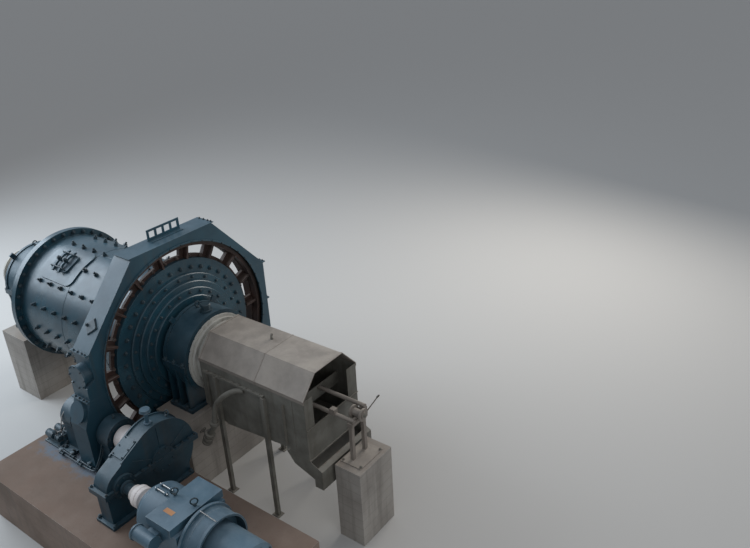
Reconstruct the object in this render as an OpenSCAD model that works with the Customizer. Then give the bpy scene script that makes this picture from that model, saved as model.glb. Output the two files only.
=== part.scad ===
// Wet ball mill, 2.4 m bore by 3 m long, with its whole drive and discharge box.
// X runs along the mill from the feed end to the discharge end, zero at the
// centre of the discharge bearing. Y is level, with the drive on its minus side.
// Z is up from the pit floor. Every size is in millimetres.

/* [Setting out] */
// height of the mill axis above the pit floor
axis_height = 2400; // [2380:10:2500]
// how far the drive block's top lies under the mill axis
drive_top_drop = 1400; // [1400:10:1420]
// how far the bearing piers' tops lie under the mill axis
bearing_pier_drop = 900; // [880:10:920]

/* [Shell] */
// bore of the drum
shell_bore = 2400; // [2380:10:2400]
// thickness of the rolled shell plate
shell_plate = 28; // [24:1:30]
// outer face of the feed end flange, along X
feed_flange_x = -4050; // [-4100:10:-4000]
// radius of the feed end flange
feed_flange_r = 1356; // [1340:2:1380]
// thickness of the shell's two flanges
shell_flange_t = 52; // [44:2:60]
// radius of the discharge end flanges
end_flange_r = 1508; // [1490:2:1520]

/* [Manhole] */
// middle of the manhole from the feed flange
manhole_from_flange = 930; // [900:10:960]
// turn of the manhole about the mill axis
manhole_turn = 116.5; // [110:0.5:120]
// length of the manhole along the shell
manhole_long = 420; // [380:10:440]
// width of the manhole around the shell
manhole_wide = 320; // [280:10:340]

/* [Heads and trunnions] */
// front face of the discharge head's flange along X
head_front_x = -563; // [-565:1:-560]
// thickness of a head's bolting flange
head_flange_t = 80; // [70:2:90]
// radius of the trunnions in their bearings
trunnion_r = 560; // [540:5:570]
// bore of the trunnions
trunnion_bore_r = 420; // [380:10:440]
// radial running clearance of every shaft in its bearing
running_fit = 0.06; // [0.04:0.01:0.08]

/* [Girth gear] */
// module of the girth gear and pinion teeth
gear_module = 20; // [20:1:20]
// teeth of the girth gear
gear_teeth = 189; // [189:1:189]
// teeth of the pinion
pinion_teeth = 21; // [21:1:21]
// face width of the girth gear
gear_face = 340; // [330:5:345]
// inner radius of the gear's rim
gear_rim_r = 1765; // [1755:5:1775]
// thickness of the gear's web ring
gear_web_t = 50; // [44:2:56]
// windows through the web
gear_windows = 18; // [18:1:18]
// angle that one window spans
window_span = 13; // [12:0.5:13.5]
// turn of the windows at rest
window_turn = -1; // [-10:1:10]
// thickness of a radial rib between two windows
gear_rib_t = 36; // [30:2:40]
// play between the teeth, taken off each flank
tooth_play = 0.8; // [0.6:0.1:1]
// drop of the line from the mill axis to the pinion, below level
pinion_drop = 21.5; // [21.5:0.5:21.5]

/* [Gear guard] */
// half width of the flat roof
guard_roof_half = 872; // [860:2:880]
// height of the roof above the mill axis
guard_roof_z = 1994; // [1980:2:2000]
// half width over the upright sides
guard_side_half = 2009; // [2000:1:2020]
// height of the upper side corners above the mill axis
guard_side_z = 729; // [720:1:740]
// radius of the round openings
guard_open_r = 1843; // [1835:1:1850]
// front face along X
guard_front_x = -454; // [-456:1:-450]
// depth over both faces
guard_depth = 430; // [426:2:436]
// plate thickness
guard_plate = 10; // [8:1:12]
// how far the guard's shoulder stands outside the pinion axis
guard_shoulder = 225; // [215:5:235]
// how far the guard's bulge stands outside the pinion axis
guard_bulge = 415; // [400:5:425]

/* [Mill bearings] */
// half length of the bearing housings along X
bearing_half = 290; // [280:5:295]
// outer radius of the housings
bearing_cap_r = 770; // [750:5:790]
// half width of the housings at the joint
bearing_foot_half = 800; // [790:10:810]
// centre of the feed bearing along X
feed_bearing_x = -5120; // [-5140:10:-5100]

/* [Pinion line] */
// radius of the pinion shaft in its bearings
pinion_shaft_r = 110; // [100:5:115]
// centre of the feed side pinion bearing
pinion_bearing_feed_x = -1300; // [-1320:10:-1280]
// centre of the discharge side pinion bearing
pinion_bearing_out_x = -260; // [-265:5:-250]
// half length of a pinion bearing housing
pinion_bearing_half = 150; // [140:5:155]
// radius of a pinion bearing housing
pinion_bearing_r = 300; // [280:10:310]
// radius of the low speed coupling
slow_coupling_r = 235; // [220:5:245]

/* [Gearbox] */
// near end face of the gearbox along X
gearbox_x = 585; // [580:5:590]
// thickness over the housing
gearbox_wide = 320; // [310:5:325]
// housing radius around the output shaft
gearbox_big_r = 640; // [620:5:645]
// housing radius around the input shaft
gearbox_small_r = 300; // [290:10:320]
// distance between the two shafts
gearbox_centres = 750; // [740:10:760]
// radius of the input shaft
input_shaft_r = 60; // [55:1:65]

/* [Motor] */
// drive end face of the motor along X
motor_x = 1600; // [1590:5:1610]
// length of the round drive end
motor_bell_long = 560; // [540:10:580]
// length of the square middle of the frame
motor_box_long = 560; // [540:10:580]
// half width of the square middle
motor_half = 450; // [440:10:460]
// height of the top plate above the motor axis
motor_top_rise = 440; // [430:5:450]
// radius of the round end housing over the slip rings
motor_drum_r = 340; // [330:5:350]

/* [Discharge] */
// feed side face of the discharge hood along X
hood_x = 540; // [530:5:550]
// length of the hood
hood_long = 2348; // [2320:2:2360]
// half width of the hood's roof
hood_roof_half = 335; // [325:5:345]
// height of the roof above the mill axis
hood_roof_z = 653; // [645:1:660]
// half width over the hood's sides
hood_half = 652; // [645:1:660]
// height of the side corners above the mill axis
hood_side_z = 295; // [285:5:305]
// sheet thickness of hood and box
sheet_t = 8; // [6:1:10]
// bottom of the box's end wall under the mill axis
box_drop = 850; // [830:10:870]
// lower edge of the opening in the end wall under the mill axis
end_sill_drop = 260; // [240:10:280]
// how far the chute reaches beyond the box
chute_reach = 242; // [220:2:250]
// room between the chute's lip and the pier of the stand
stand_room = 80; // [60:5:100]
// length of the stand's pier along the mill
stand_pier_long = 500; // [480:10:520]
// how far the bars' stand rises above its pier's top, up to the mill axis
stand_rise = 920; // [900:10:940]

/* [View] */
// the piece to draw, or all of them

/* [Hidden] */
$fn = 96;

shell_r = shell_bore / 2 + shell_plate;
head_x = head_front_x - head_flange_t;   // feed side face of the discharge head
gear_web_x = head_x - gear_web_t;        // feed side face of the gear's web
gear_pitch_r = gear_module * gear_teeth / 2;
pinion_pitch_r = gear_module * pinion_teeth / 2;
gear_mid_x = gear_web_x + gear_web_t / 2;
centre_distance = gear_pitch_r + pinion_pitch_r;
pinion_y = -centre_distance * cos(pinion_drop);
pinion_z = axis_height - centre_distance * sin(pinion_drop);
motor_y = pinion_y - gearbox_centres;
drive_top = axis_height - drive_top_drop;
bearing_seat = axis_height - bearing_pier_drop;
blue = [0.18, 0.31, 0.37];
pale = [0.78, 0.77, 0.72];
beige = [0.59, 0.55, 0.51];
rust = [0.24, 0.14, 0.11];
concrete = [0.62, 0.6, 0.57];

// Lays a shape's Z along the mill axis, starting at x.
module on_mill_axis(x) translate([x, 0, axis_height]) rotate([0, 90, 0]) children();
// Lays a shape's Z along the pinion axis, starting at x.
module on_pinion_axis(x) translate([x, pinion_y, pinion_z]) rotate([0, 90, 0]) children();
// Lays a shape's Z along the motor axis, starting at x.
module on_motor_axis(x) translate([x, motor_y, pinion_z]) rotate([0, 90, 0]) children();
// Extrudes an outline drawn in Y and Z (from the mill axis) by t along X.
module cross_plate(x, t) translate([x, 0, axis_height]) rotate([90, 0, 90])
    linear_extrude(t) children();
// A box given by its two corners.
module block(a, b) translate(a) cube(b - a);
// A flat ring, or a tube.
module ring(r_out, r_in, t) difference() {
    cylinder(r = r_out, h = t);
    translate([0, 0, -1]) cylinder(r = r_in, h = t + 2);
}

// Shell and heads
module shell() color(blue) {
    difference() {
        union() {
            on_mill_axis(feed_flange_x)
                cylinder(r = shell_r, h = gear_web_x - feed_flange_x, $fn = 192);
            on_mill_axis(feed_flange_x)
                cylinder(r = feed_flange_r, h = shell_flange_t, $fn = 192);
            on_mill_axis(gear_web_x - shell_flange_t)
                cylinder(r = end_flange_r, h = shell_flange_t, $fn = 192);
            manhole_place() manhole_pad();
        }
        on_mill_axis(feed_flange_x - 1)
            cylinder(d = shell_bore, h = gear_web_x - feed_flange_x + 2, $fn = 192);
        manhole_place() translate([-manhole_long / 2, -manhole_wide / 2, -200])
            cube([manhole_long, manhole_wide, 400]);
    }
}

// Origin on the shell's outer face at the manhole, Z pointing out.
module manhole_place() translate([feed_flange_x + manhole_from_flange, 0, axis_height])
    rotate([manhole_turn - 90, 0, 0]) translate([0, 0, shell_r]) children();

pad_t = 30;
module manhole_pad() intersection() {
    translate([0, 0, -shell_r]) rotate([0, 90, 0]) translate([0, 0, -700])
        ring(shell_r + pad_t, shell_r - 10, 1400);
    translate([0, 0, -300]) rounded_block(manhole_long + 640, manhole_wide + 500, 500, 170);
}

// A block with its four upright edges rounded, centred in X and Y.
module rounded_block(long, wide, tall, r) {
    translate([-long / 2 + r, -wide / 2, 0]) cube([long - 2 * r, wide, tall]);
    translate([-long / 2, -wide / 2 + r, 0]) cube([long, wide - 2 * r, tall]);
    for (i = [-1, 1], j = [-1, 1])
        translate([i * (long / 2 - r), j * (wide / 2 - r), 0])
            cylinder(r = r, h = tall, $fn = 48);
}

// The cover sits on the pad, held by two arched bridges with a nut on each.
cover_rise = 62;
bridge_gap = 190;
module manhole_cover() color(blue) manhole_place() {
    difference() {
        rounded_block(manhole_long + 90, manhole_wide + 90, cover_rise, 70);
        translate([0, 0, -shell_r]) rotate([0, 90, 0])
            translate([0, 0, -400]) cylinder(r = shell_r + pad_t, h = 800, $fn = 192);
    }
    for (i = [-1, 1]) translate([i * bridge_gap / 2, 0, cover_rise]) {
        translate([-22, 0, 0]) rotate([90, 0, 90]) linear_extrude(44)
            polygon([[-250, 0], [-250, 30], [-110, 75], [110, 75], [250, 30], [250, 0],
                [190, 0], [80, 35], [-80, 35], [-190, 0]]);
        cylinder(r = 24, h = 120);
    }
}

// Each step of the head is a radius and how far it stands out from the flange.
head_steps = [[1240, 50], [1110, 110], [1000, 150], [860, 190]];
module discharge_head() color(blue) difference() {
    union() {
        on_mill_axis(head_x) cylinder(r = end_flange_r, h = head_flange_t, $fn = 192);
        for (step = head_steps) on_mill_axis(head_front_x) {
            cylinder(r = step[0], h = step[1] - 12, $fn = 192);
            translate([0, 0, step[1] - 12])
                cylinder(r1 = step[0], r2 = step[0] - 12, h = 12, $fn = 192);
        }
        on_mill_axis(head_x) cylinder(r = trunnion_r, h = -head_x + bearing_half + 10, $fn = 128);
    }
    on_mill_axis(head_x - 1)
        cylinder(r = trunnion_bore_r, h = -head_x + bearing_half + 20, $fn = 128);
}

module feed_head() color(blue) difference() {
    end = feed_flange_x - head_flange_t;
    union() {
        on_mill_axis(end) cylinder(r = feed_flange_r, h = head_flange_t, $fn = 192);
        for (step = [[1090, 50], [960, 110], [820, 170]]) on_mill_axis(end - step[1]) {
            cylinder(r1 = step[0] - 12, r2 = step[0], h = 12, $fn = 192);
            translate([0, 0, 12]) cylinder(r = step[0], h = step[1] - 12, $fn = 192);
        }
        on_mill_axis(feed_bearing_x - bearing_half - 10)
            cylinder(r = trunnion_r, h = feed_flange_x - feed_bearing_x + bearing_half, $fn = 128);
    }
    on_mill_axis(feed_bearing_x - bearing_half - 20)
        cylinder(r = trunnion_bore_r, h = feed_flange_x - feed_bearing_x + bearing_half + 30, $fn = 128);
}

// The feed end's spout is bolted to the trunnion and turns with the drum.
spout_long = 560;
module feed_spout() color(pale) on_mill_axis(feed_bearing_x - bearing_half - 10 - spout_long)
    difference() {
        union() {
            cylinder(r = 420, h = spout_long, $fn = 128);
            translate([0, 0, spout_long - 45]) cylinder(r = 620, h = 45, $fn = 128);
            cylinder(r = 500, h = 40, $fn = 128);
        }
        translate([0, 0, -1]) cylinder(r = 360, h = spout_long + 2, $fn = 128);
    }

module outlet_spout() color(pale) on_mill_axis(bearing_half + 10) difference() {
    union() {
        cylinder(r = 704, h = 40, $fn = 128);
        translate([0, 0, 40]) cylinder(r = 655, h = 60, $fn = 128);
        cylinder(r = 600, h = 620, $fn = 128);
    }
    translate([0, 0, -1]) cylinder(r = trunnion_bore_r, h = 700, $fn = 128);
}

// Girth gear and pinion
// Outline of a spur gear with three straight steps a flank, worked out from the
// involute: a point at radius r lies (tan p - p) further round than at the base
// circle, with cos p = base / r.
function roll(base, r) = let (p = acos(base / r)) tan(p) * 180 / PI - p;
function flank_turn(base, pitch, r, teeth, play) =
    90 / teeth - play / pitch * 180 / PI + roll(base, pitch) - roll(base, max(r, base));
function gear_points(teeth, m, play) =
    let (pitch = m * teeth / 2, base = pitch * cos(20), tip = pitch + m, root = pitch - 1.25 * m,
        steps = [root, max(base, root + 0.3 * m), pitch, tip])
    [for (i = [0 : teeth - 1])
        let (mid = i * 360 / teeth)
        each concat(
            [for (r = steps) let (a = mid - flank_turn(base, pitch, r, teeth, play)) r * [cos(a), sin(a)]],
            [for (k = [3 : -1 : 0]) let (r = steps[k], a = mid + flank_turn(base, pitch, r, teeth, play))
                r * [cos(a), sin(a)]])];

// A tooth of the gear and a gap of the pinion face each other on the line of centres.
module girth_gear() color(rust) on_mill_axis(gear_mid_x) {
    difference() {
        translate([0, 0, -gear_face / 2]) rotate(90 + pinion_drop + 180)
            linear_extrude(gear_face) polygon(gear_points(gear_teeth, gear_module, tooth_play));
        translate([0, 0, -gear_face]) cylinder(r = gear_rim_r, h = 2 * gear_face, $fn = 192);
    }
    difference() {
        translate([0, 0, -gear_web_t / 2]) ring(gear_rim_r + 20, shell_r + 12, gear_web_t, $fn = 192);
        for (i = [0 : gear_windows - 1]) rotate(i * 360 / gear_windows + window_turn) window();
    }
    for (i = [0 : gear_windows - 1]) rotate((i + 0.5) * 360 / gear_windows + window_turn)
        for (s = [-1, 1]) translate([end_flange_r + 12, -gear_rib_t / 2,
                s > 0 ? gear_web_t / 2 - 1 : -gear_face / 2 + 30])
            cube([gear_rim_r - end_flange_r - 6, gear_rib_t, gear_face / 2 - gear_web_t / 2 - 29]);
}

module window() translate([0, 0, -gear_web_t]) intersection() {
    ring(gear_rim_r - 12, 1575, 2 * gear_web_t, $fn = 192);
    rotate(-window_span / 2) linear_extrude(2 * gear_web_t)
        polygon([[0, 0], [2000, 0], 2000 * [cos(window_span), sin(window_span)]]);
}

module pinion_shaft() color(rust) {
    on_pinion_axis(gear_mid_x - gear_face / 2 - 4) rotate(90 + pinion_drop + 180 / pinion_teeth)
        linear_extrude(gear_face + 8)
            polygon(gear_points(pinion_teeth, gear_module, tooth_play));
    on_pinion_axis(pinion_bearing_feed_x - pinion_bearing_half + 20) cylinder(r = pinion_shaft_r,
        h = slow_coupling_x - pinion_bearing_feed_x + pinion_bearing_half - 20);
}

// Gear guard
guard_back_x = guard_front_x - guard_depth;
roof_turn = atan2(guard_roof_z - guard_side_z, guard_side_half - guard_roof_half);
function guard_corners(inset) =
    let (a = guard_roof_half - inset * tan(roof_turn / 2), h = guard_roof_z - inset,
        b = guard_side_half - inset, s = guard_side_z - inset * tan((90 - roof_turn) / 2))
    [[-a, h], [a, h], [b, s], [b, -s], [a, -h], [-a, -h], [-b, -s], [-b, s]];

// The corners of an outline moved inwards by t.
function unit(v) = v / norm(v);
function shrunk(points, t) = let (n = len(points)) [for (i = [0 : n - 1])
    let (p = points[i], a = unit(p - points[(i + n - 1) % n]), b = unit(points[(i + 1) % n] - p),
        inward = [-a[1] - b[1], a[0] + b[0]])
    p + t / (1 + a * b) * inward];
// The guard bulges over the pinion: a ledge, a shoulder, a slope and an upright side.
// Its other corners lie inside the guard.
shoulder_z = axis_height - 80;
shoulder_tall = 250;
ledge_rise = 240;
bulge_z = pinion_z + 250;
bulge_inner_y = -guard_roof_half - 450;
bulge_corners = [
    [pinion_y - guard_shoulder, shoulder_z + shoulder_tall - axis_height],
    [pinion_y - guard_shoulder, shoulder_z - axis_height],
    [pinion_y - guard_bulge, bulge_z - axis_height],
    [pinion_y - guard_bulge, drive_top - axis_height],
    [bulge_inner_y, drive_top - axis_height],
    [bulge_inner_y, shoulder_z + shoulder_tall + ledge_rise - axis_height],
    [pinion_y + guard_shoulder, shoulder_z + shoulder_tall + ledge_rise - axis_height]];
module guard_outline(inset) {
    polygon(guard_corners(inset));
    polygon(shrunk(bulge_corners, inset));
}
module guard_whole() {
    difference() {
        cross_plate(guard_back_x, guard_depth) guard_outline(0);
        cross_plate(guard_back_x + guard_plate, guard_depth - 2 * guard_plate)
            guard_outline(guard_plate);
        on_mill_axis(guard_back_x - 1) cylinder(r = guard_open_r, h = guard_depth + 2, $fn = 192);
        on_pinion_axis(guard_back_x - 1) cylinder(r = pinion_shaft_r + 20, h = guard_depth + 2);
    }
    for (x = [guard_back_x - 25, guard_front_x]) on_mill_axis(x)
        ring(guard_open_r + 22, guard_open_r, 25, $fn = 192);
}
split_z = axis_height + guard_side_z;
module guard_part(a, b) intersection() {
    guard_whole();
    block([guard_back_x - 100, a[0], a[1]], [guard_front_x + 100, b[0], b[1]]);
}
// A flat bolting strip that stands out from a guard wall at y, its top at z.
lip_wide = 60;
lip_t = 12;
lip_root = 4;   // how deep the strip's inner edge sits in the wall
module lip(y, z) block([guard_back_x, y < 0 ? y - lip_wide : y - lip_root, z - lip_t],
    [guard_front_x, y < 0 ? y + lip_root : y + lip_wide, z]);

module guard_top() color(blue) {
    guard_part([-2500, split_z], [2500, split_z + 1500]);
    for (s = [-1, 1]) {
        lip(s * guard_side_half, split_z + lip_t);
        block([guard_back_x, s * guard_roof_half - lip_wide, axis_height + guard_roof_z - lip_t],
            [guard_front_x, s * guard_roof_half + lip_wide, axis_height + guard_roof_z]);
    }
}
port_r = 190;
port_long = 170;
cover_r = 185;
cover_out = 65;
module guard_near_side() color(blue) {
    guard_part([-2500, shoulder_z], [0, split_z]);
    lip(-guard_side_half, split_z);
    lip(pinion_y - guard_shoulder, shoulder_z + lip_t);
    translate([gear_mid_x, -guard_side_half, axis_height + 330]) rotate([90, 0, 0]) {
        cylinder(r = port_r, h = port_long);
        translate([0, 0, port_long - 25]) cylinder(r = port_r + 25, h = 25);
    }
}
module guard_far_side() color(blue) {
    guard_part([0, shoulder_z], [2500, split_z]);
    lip(guard_side_half, split_z);
    lip(guard_side_half, shoulder_z + lip_t);
}
post_wide = 100;
module guard_sump() color(blue) {
    guard_part([-2500, axis_height - guard_roof_z - 10], [2500, shoulder_z]);
    lip(pinion_y - guard_shoulder, shoulder_z);
    lip(guard_side_half, shoulder_z);
    translate([gear_mid_x, pinion_y - (guard_bulge + guard_shoulder) / 2, (bulge_z + shoulder_z) / 2])
        rotate([atan2(shoulder_z - bulge_z, guard_bulge - guard_shoulder), 0, 0])
            translate([0, 0, -guard_plate / 2]) cylinder(r = cover_r, h = cover_out + guard_plate / 2);
    for (y = [-700, 600], x = [guard_back_x + 20, guard_front_x - 20 - post_wide])
        block([x, y, 0], [x + post_wide, y + post_wide, axis_height - guard_roof_z]);
}
bracket_y = -300;
bracket_long = 700;
module guard_bracket() color(blue) {
    roof = axis_height + guard_roof_z;
    hole = 115;
    pitch = (bracket_long - 50) / 4;
    difference() {
        block([guard_back_x + 130, bracket_y, roof],
            [guard_back_x + 142, bracket_y + bracket_long, roof + 215]);
        for (i = [0 : 3])
            block([guard_back_x + 120, bracket_y + 45 + i * pitch, roof + 60],
                [guard_back_x + 152, bracket_y + 45 + i * pitch + hole, roof + 60 + hole]);
    }
    block([guard_back_x + 110, bracket_y, roof],
        [guard_back_x + 230, bracket_y + bracket_long, roof + 12]);
}
module guard_side_cover() color(blue)
    translate([guard_back_x + guard_depth / 2, -guard_side_half, axis_height + guard_side_z])
        rotate([roof_turn, 0, 0]) translate([0, 480, 0])
            cylinder(r = 135, h = 24, $fn = 6);

// Mill bearings and piers
module bearing_bore(x) on_mill_axis(x - 400)
    cylinder(r = trunnion_r + running_fit, h = 800, $fn = 128);
module lower_half(z0) block([-9000, -2000, z0], [9000, 2000, axis_height]);
module bearing_base(x) difference() {
    union() {
        block([x - bearing_half, -bearing_foot_half, bearing_seat],
            [x + bearing_half, bearing_foot_half, bearing_seat + 70]);
        intersection() {
            on_mill_axis(x - bearing_half)
                cylinder(r = bearing_cap_r, h = 2 * bearing_half, $fn = 128);
            lower_half(bearing_seat);
        }
        block([x - bearing_half + 60, -bearing_cap_r + 120, bearing_seat],
            [x + bearing_half - 60, bearing_cap_r - 120, axis_height - 200]);
        block([x - bearing_half, -bearing_foot_half, axis_height - 60],
            [x + bearing_half, bearing_foot_half, axis_height]);
        for (i = [-1, 0, 1]) block([x + i * 220 - 15, -bearing_foot_half + 30, bearing_seat],
            [x + i * 220 + 15, bearing_foot_half - 30, axis_height]);
    }
    bearing_bore(x);
}
module bearing_cap(x) difference() {
    union() {
        intersection() {
            union() {
                on_mill_axis(x - bearing_half)
                    cylinder(r = bearing_cap_r, h = 2 * bearing_half, $fn = 128);
                on_mill_axis(x - bearing_half + 30)
                    cylinder(r = bearing_cap_r + 20, h = 60, $fn = 128);
            }
            block([x - 500, -1000, axis_height], [x + 500, 1000, axis_height + 1000]);
        }
        block([x - bearing_half, -bearing_foot_half, axis_height],
            [x + bearing_half, bearing_foot_half, axis_height + 60]);
        for (y = [-1, 1]) translate([x - bearing_half + 42, y * 440, axis_height + 640])
            rotate([y * -34, 0, 0]) translate([0, -50, -60]) cube([36, 100, 180]);
    }
    bearing_bore(x);
}
module feed_bearing_base() color(blue) bearing_base(feed_bearing_x);
module feed_bearing_cap() color(blue) bearing_cap(feed_bearing_x);
module discharge_bearing_base() color(blue) bearing_base(0);
module discharge_bearing_cap() color(blue) bearing_cap(0);
module pier(x0, x1, y0, y1, top) color(concrete) block([x0, y0, 0], [x1, y1, top]);
pier_half = bearing_foot_half + 250;
module feed_pier() pier(feed_bearing_x - bearing_half - 130, feed_bearing_x + bearing_half + 130,
    -pier_half, pier_half, bearing_seat);
module discharge_pier() pier(-bearing_half - 100, bearing_half + 100,
    -pier_half, pier_half, bearing_seat);
module drive_pier() pier(-2150, 3700, -3450, -1450, drive_top);

// Pinion bearings
module pinion_housing(x) difference() {
    union() {
        on_pinion_axis(x - pinion_bearing_half)
            cylinder(r = pinion_bearing_r, h = 2 * pinion_bearing_half);
        block([x - pinion_bearing_half + 20, pinion_y - pinion_bearing_r + 20, drive_top],
            [x + pinion_bearing_half - 20, pinion_y + pinion_bearing_r - 20, pinion_z]);
        block([x - pinion_bearing_half, pinion_y - 420, drive_top],
            [x + pinion_bearing_half, pinion_y + 420, drive_top + 60]);
    }
    on_pinion_axis(x - 400) cylinder(r = pinion_shaft_r + running_fit, h = 800);
}
module pinion_bearing_feed() color(blue) {
    pinion_housing(pinion_bearing_feed_x);
    on_pinion_axis(pinion_bearing_feed_x - pinion_bearing_half - 40) cylinder(r = 230, h = 40);
}
module pinion_bearing_out() color(blue) pinion_housing(pinion_bearing_out_x);

// Two drums on a hub that joins the pinion shaft to the gearbox's output shaft.
slow_coupling_x = pinion_bearing_out_x + pinion_bearing_half + 30;
flange_out = 50;   // overhang of the gearbox's split flange
slow_coupling_end = gearbox_x - flange_out - 15;
output_shaft_r = 100;
module slow_coupling() color(pale) {
    on_pinion_axis(slow_coupling_x) {
        cylinder(r = slow_coupling_r - 85, h = slow_coupling_end - slow_coupling_x);
        cylinder(r = slow_coupling_r - 30, h = 150);
        translate([0, 0, 168]) cylinder(r = slow_coupling_r, h = 190);
    }
    on_pinion_axis(slow_coupling_end)
        cylinder(r = output_shaft_r, h = gearbox_x + gearbox_wide - 60 - slow_coupling_end);
}

// Gearbox
tangent = acos((gearbox_big_r - gearbox_small_r) / gearbox_centres);
module gearbox_outline(grow) translate([0, pinion_z - axis_height]) {
    big = gearbox_big_r + grow;
    small = gearbox_small_r + grow;
    touch = [-cos(tangent), sin(tangent)];
    translate([pinion_y, 0]) circle(r = big, $fn = 128);
    translate([motor_y, 0]) circle(r = small);
    polygon([[pinion_y, 0] + big * touch, [motor_y, 0] + small * touch,
        [motor_y, 0] + small * [touch[0], -touch[1]], [pinion_y, 0] + big * [touch[0], -touch[1]]]);
}
module gearbox_half(z0, z1) intersection() {
    cross_plate(gearbox_x, gearbox_wide) gearbox_outline(0);
    block([gearbox_x - 9, -4000, z0], [gearbox_x + gearbox_wide + 9, 0, z1]);
}
gearbox_y0 = motor_y - gearbox_small_r - 60;
gearbox_y1 = -1460;
split_t = 45;
module split_flange(z) block([gearbox_x - flange_out, gearbox_y0, z],
    [gearbox_x + gearbox_wide + flange_out, pinion_y + gearbox_big_r + 70, z + split_t]);
module shaft_boss(z0, z1) intersection() {
    union() {
        on_pinion_axis(gearbox_x - 20) cylinder(r = 220, h = gearbox_wide + 60);
        on_motor_axis(gearbox_x - 20) cylinder(r = 200, h = gearbox_wide + 20 + flange_out);
    }
    block([gearbox_x - 100, -4000, z0], [gearbox_x + gearbox_wide + 100, 0, z1]);
}
module shaft_bores() {
    on_pinion_axis(gearbox_x - 100)
        cylinder(r = output_shaft_r + running_fit, h = 100 + gearbox_wide - 50);
    on_motor_axis(gearbox_x + 50)
        cylinder(r = input_shaft_r + running_fit, h = gearbox_wide + 100);
}
module gearbox_lower() color(blue) difference() {
    union() {
        gearbox_half(drive_top, pinion_z);
        shaft_boss(drive_top, pinion_z);
        split_flange(pinion_z - split_t);
        block([gearbox_x + 20, gearbox_y0 + 60, drive_top],
            [gearbox_x + gearbox_wide - 20, gearbox_y1, pinion_z - 20]);
        block([gearbox_x - 60, gearbox_y0, drive_top],
            [gearbox_x + gearbox_wide + 60, gearbox_y1, drive_top + 50]);
    }
    shaft_bores();
}
rim_t = 24;
rim_rise = 26;
module gearbox_upper() color(blue) difference() {
    union() {
        gearbox_half(pinion_z, pinion_z + 1000);
        shaft_boss(pinion_z, pinion_z + 300);
        split_flange(pinion_z);
        for (x = [gearbox_x, gearbox_x + gearbox_wide - rim_t]) intersection() {
            cross_plate(x, rim_t) gearbox_outline(rim_rise);
            block([x, pinion_y - 700, pinion_z], [x + rim_t, 0, pinion_z + 1000]);
        }
    }
    shaft_bores();
}
// The inspection cover lies on the housing's straight slope, between the two rims.
module gearbox_cover() color(blue) difference() {
    translate([gearbox_x + rim_t + 8, pinion_y, pinion_z]) rotate([90 - tangent, 0, 0])
        translate([0, -400, gearbox_big_r - 10]) cube([gearbox_wide - 2 * rim_t - 16, 340, 45]);
    cross_plate(gearbox_x - 10, gearbox_wide + 20) gearbox_outline(0.3);
}
breather_base = gearbox_big_r + 0.3;
module gearbox_breather() color(blue) difference() {
    translate([gearbox_x + gearbox_wide / 2, pinion_y - 20, pinion_z + gearbox_big_r - 30]) {
        cylinder(r = 62, h = 50);
        cylinder(r = 32, h = 270);
        translate([0, 0, 258]) cylinder(r1 = 92, r2 = 78, h = 44);
    }
    on_pinion_axis(gearbox_x) cylinder(r = breather_base, h = gearbox_wide, $fn = 128);
}

// The input shaft with the two hubs of its coupling, one on each shaft end.
module fast_coupling() color(pale) {
    start = gearbox_x + 60;
    hub = gearbox_x + gearbox_wide + flange_out + 20;
    on_motor_axis(start) cylinder(r = input_shaft_r, h = motor_x + 180 - start);
    on_motor_axis(hub) {
        cylinder(r = 120, h = 110);
        for (x = [110, 196]) translate([0, 0, x]) cylinder(r = 170, h = 80);
    }
    on_motor_axis(hub + 276) cylinder(r = 135, h = motor_x - 60 - hub - 276);
}

// Motor
motor_box_x = motor_x + motor_bell_long;
motor_rear_x = motor_box_x + motor_box_long;
motor_foot_z = drive_top + 100;
motor_rear_r = 440;
module motor_frame() color(blue) difference() {
    union() {
        on_motor_axis(motor_x) cylinder(r1 = 270, r2 = 330, h = 60);
        on_motor_axis(motor_x + 60) cylinder(r = 330, h = 90);
        on_motor_axis(motor_x + 150) cylinder(r1 = 400, r2 = 430, h = 50);
        on_motor_axis(motor_x + 200) cylinder(r = 430, h = motor_bell_long - 200);
        block([motor_box_x, motor_y - motor_half, motor_foot_z],
            [motor_rear_x, motor_y + motor_half, pinion_z + motor_top_rise - 130]);
        on_motor_axis(motor_rear_x) cylinder(r = motor_rear_r, h = 200);
        for (s = [-1, 1]) block([motor_x + 260, s < 0 ? motor_y - 520 : motor_y + 300, motor_foot_z],
            [motor_rear_x + 150, s < 0 ? motor_y - 300 : motor_y + 520, motor_foot_z + 60]);
        block([motor_x + 300, motor_y - 360, motor_foot_z],
            [motor_rear_x + 40, motor_y + 360, pinion_z]);
    }
    on_motor_axis(motor_x - 100) cylinder(r = input_shaft_r + running_fit, h = 300);
}
module motor_top_box() color(blue)
    block([motor_box_x, motor_y - motor_half - 30, pinion_z + motor_top_rise - 130],
        [motor_rear_x - 60, motor_y + motor_half + 30, pinion_z + motor_top_rise]);
// A short tube round the rear end that leads the cooling air out.
cowl_r = 500;
module motor_cowl() color(blue) difference() {
    on_motor_axis(motor_rear_x + 60) cylinder(r = cowl_r, h = 450, $fn = 128);
    on_motor_axis(motor_rear_x + 59) cylinder(r = motor_rear_r + 0.5, h = 30);
    on_motor_axis(motor_rear_x + 80) cylinder(r = cowl_r - 15, h = 600, $fn = 128);
}
module motor_ring_housing() color(blue) on_motor_axis(motor_rear_x + 200) {
    cylinder(r = motor_drum_r, h = 800);
    translate([0, 0, 800]) cylinder(r1 = motor_drum_r, r2 = motor_drum_r - 60, h = 60);
}
module motor_terminal_box() color(blue) {
    x = motor_box_x - 160;
    side = motor_y - motor_half;
    block([motor_box_x + 30, side - 100, pinion_z + 60], [x + 380, side, pinion_z + 240]);
    translate([x, side - 125, pinion_z + 150]) rotate([0, 90, 0]) {
        cylinder(r = 108, h = 400);
        cylinder(r = 122, h = 25);
    }
}
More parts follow.
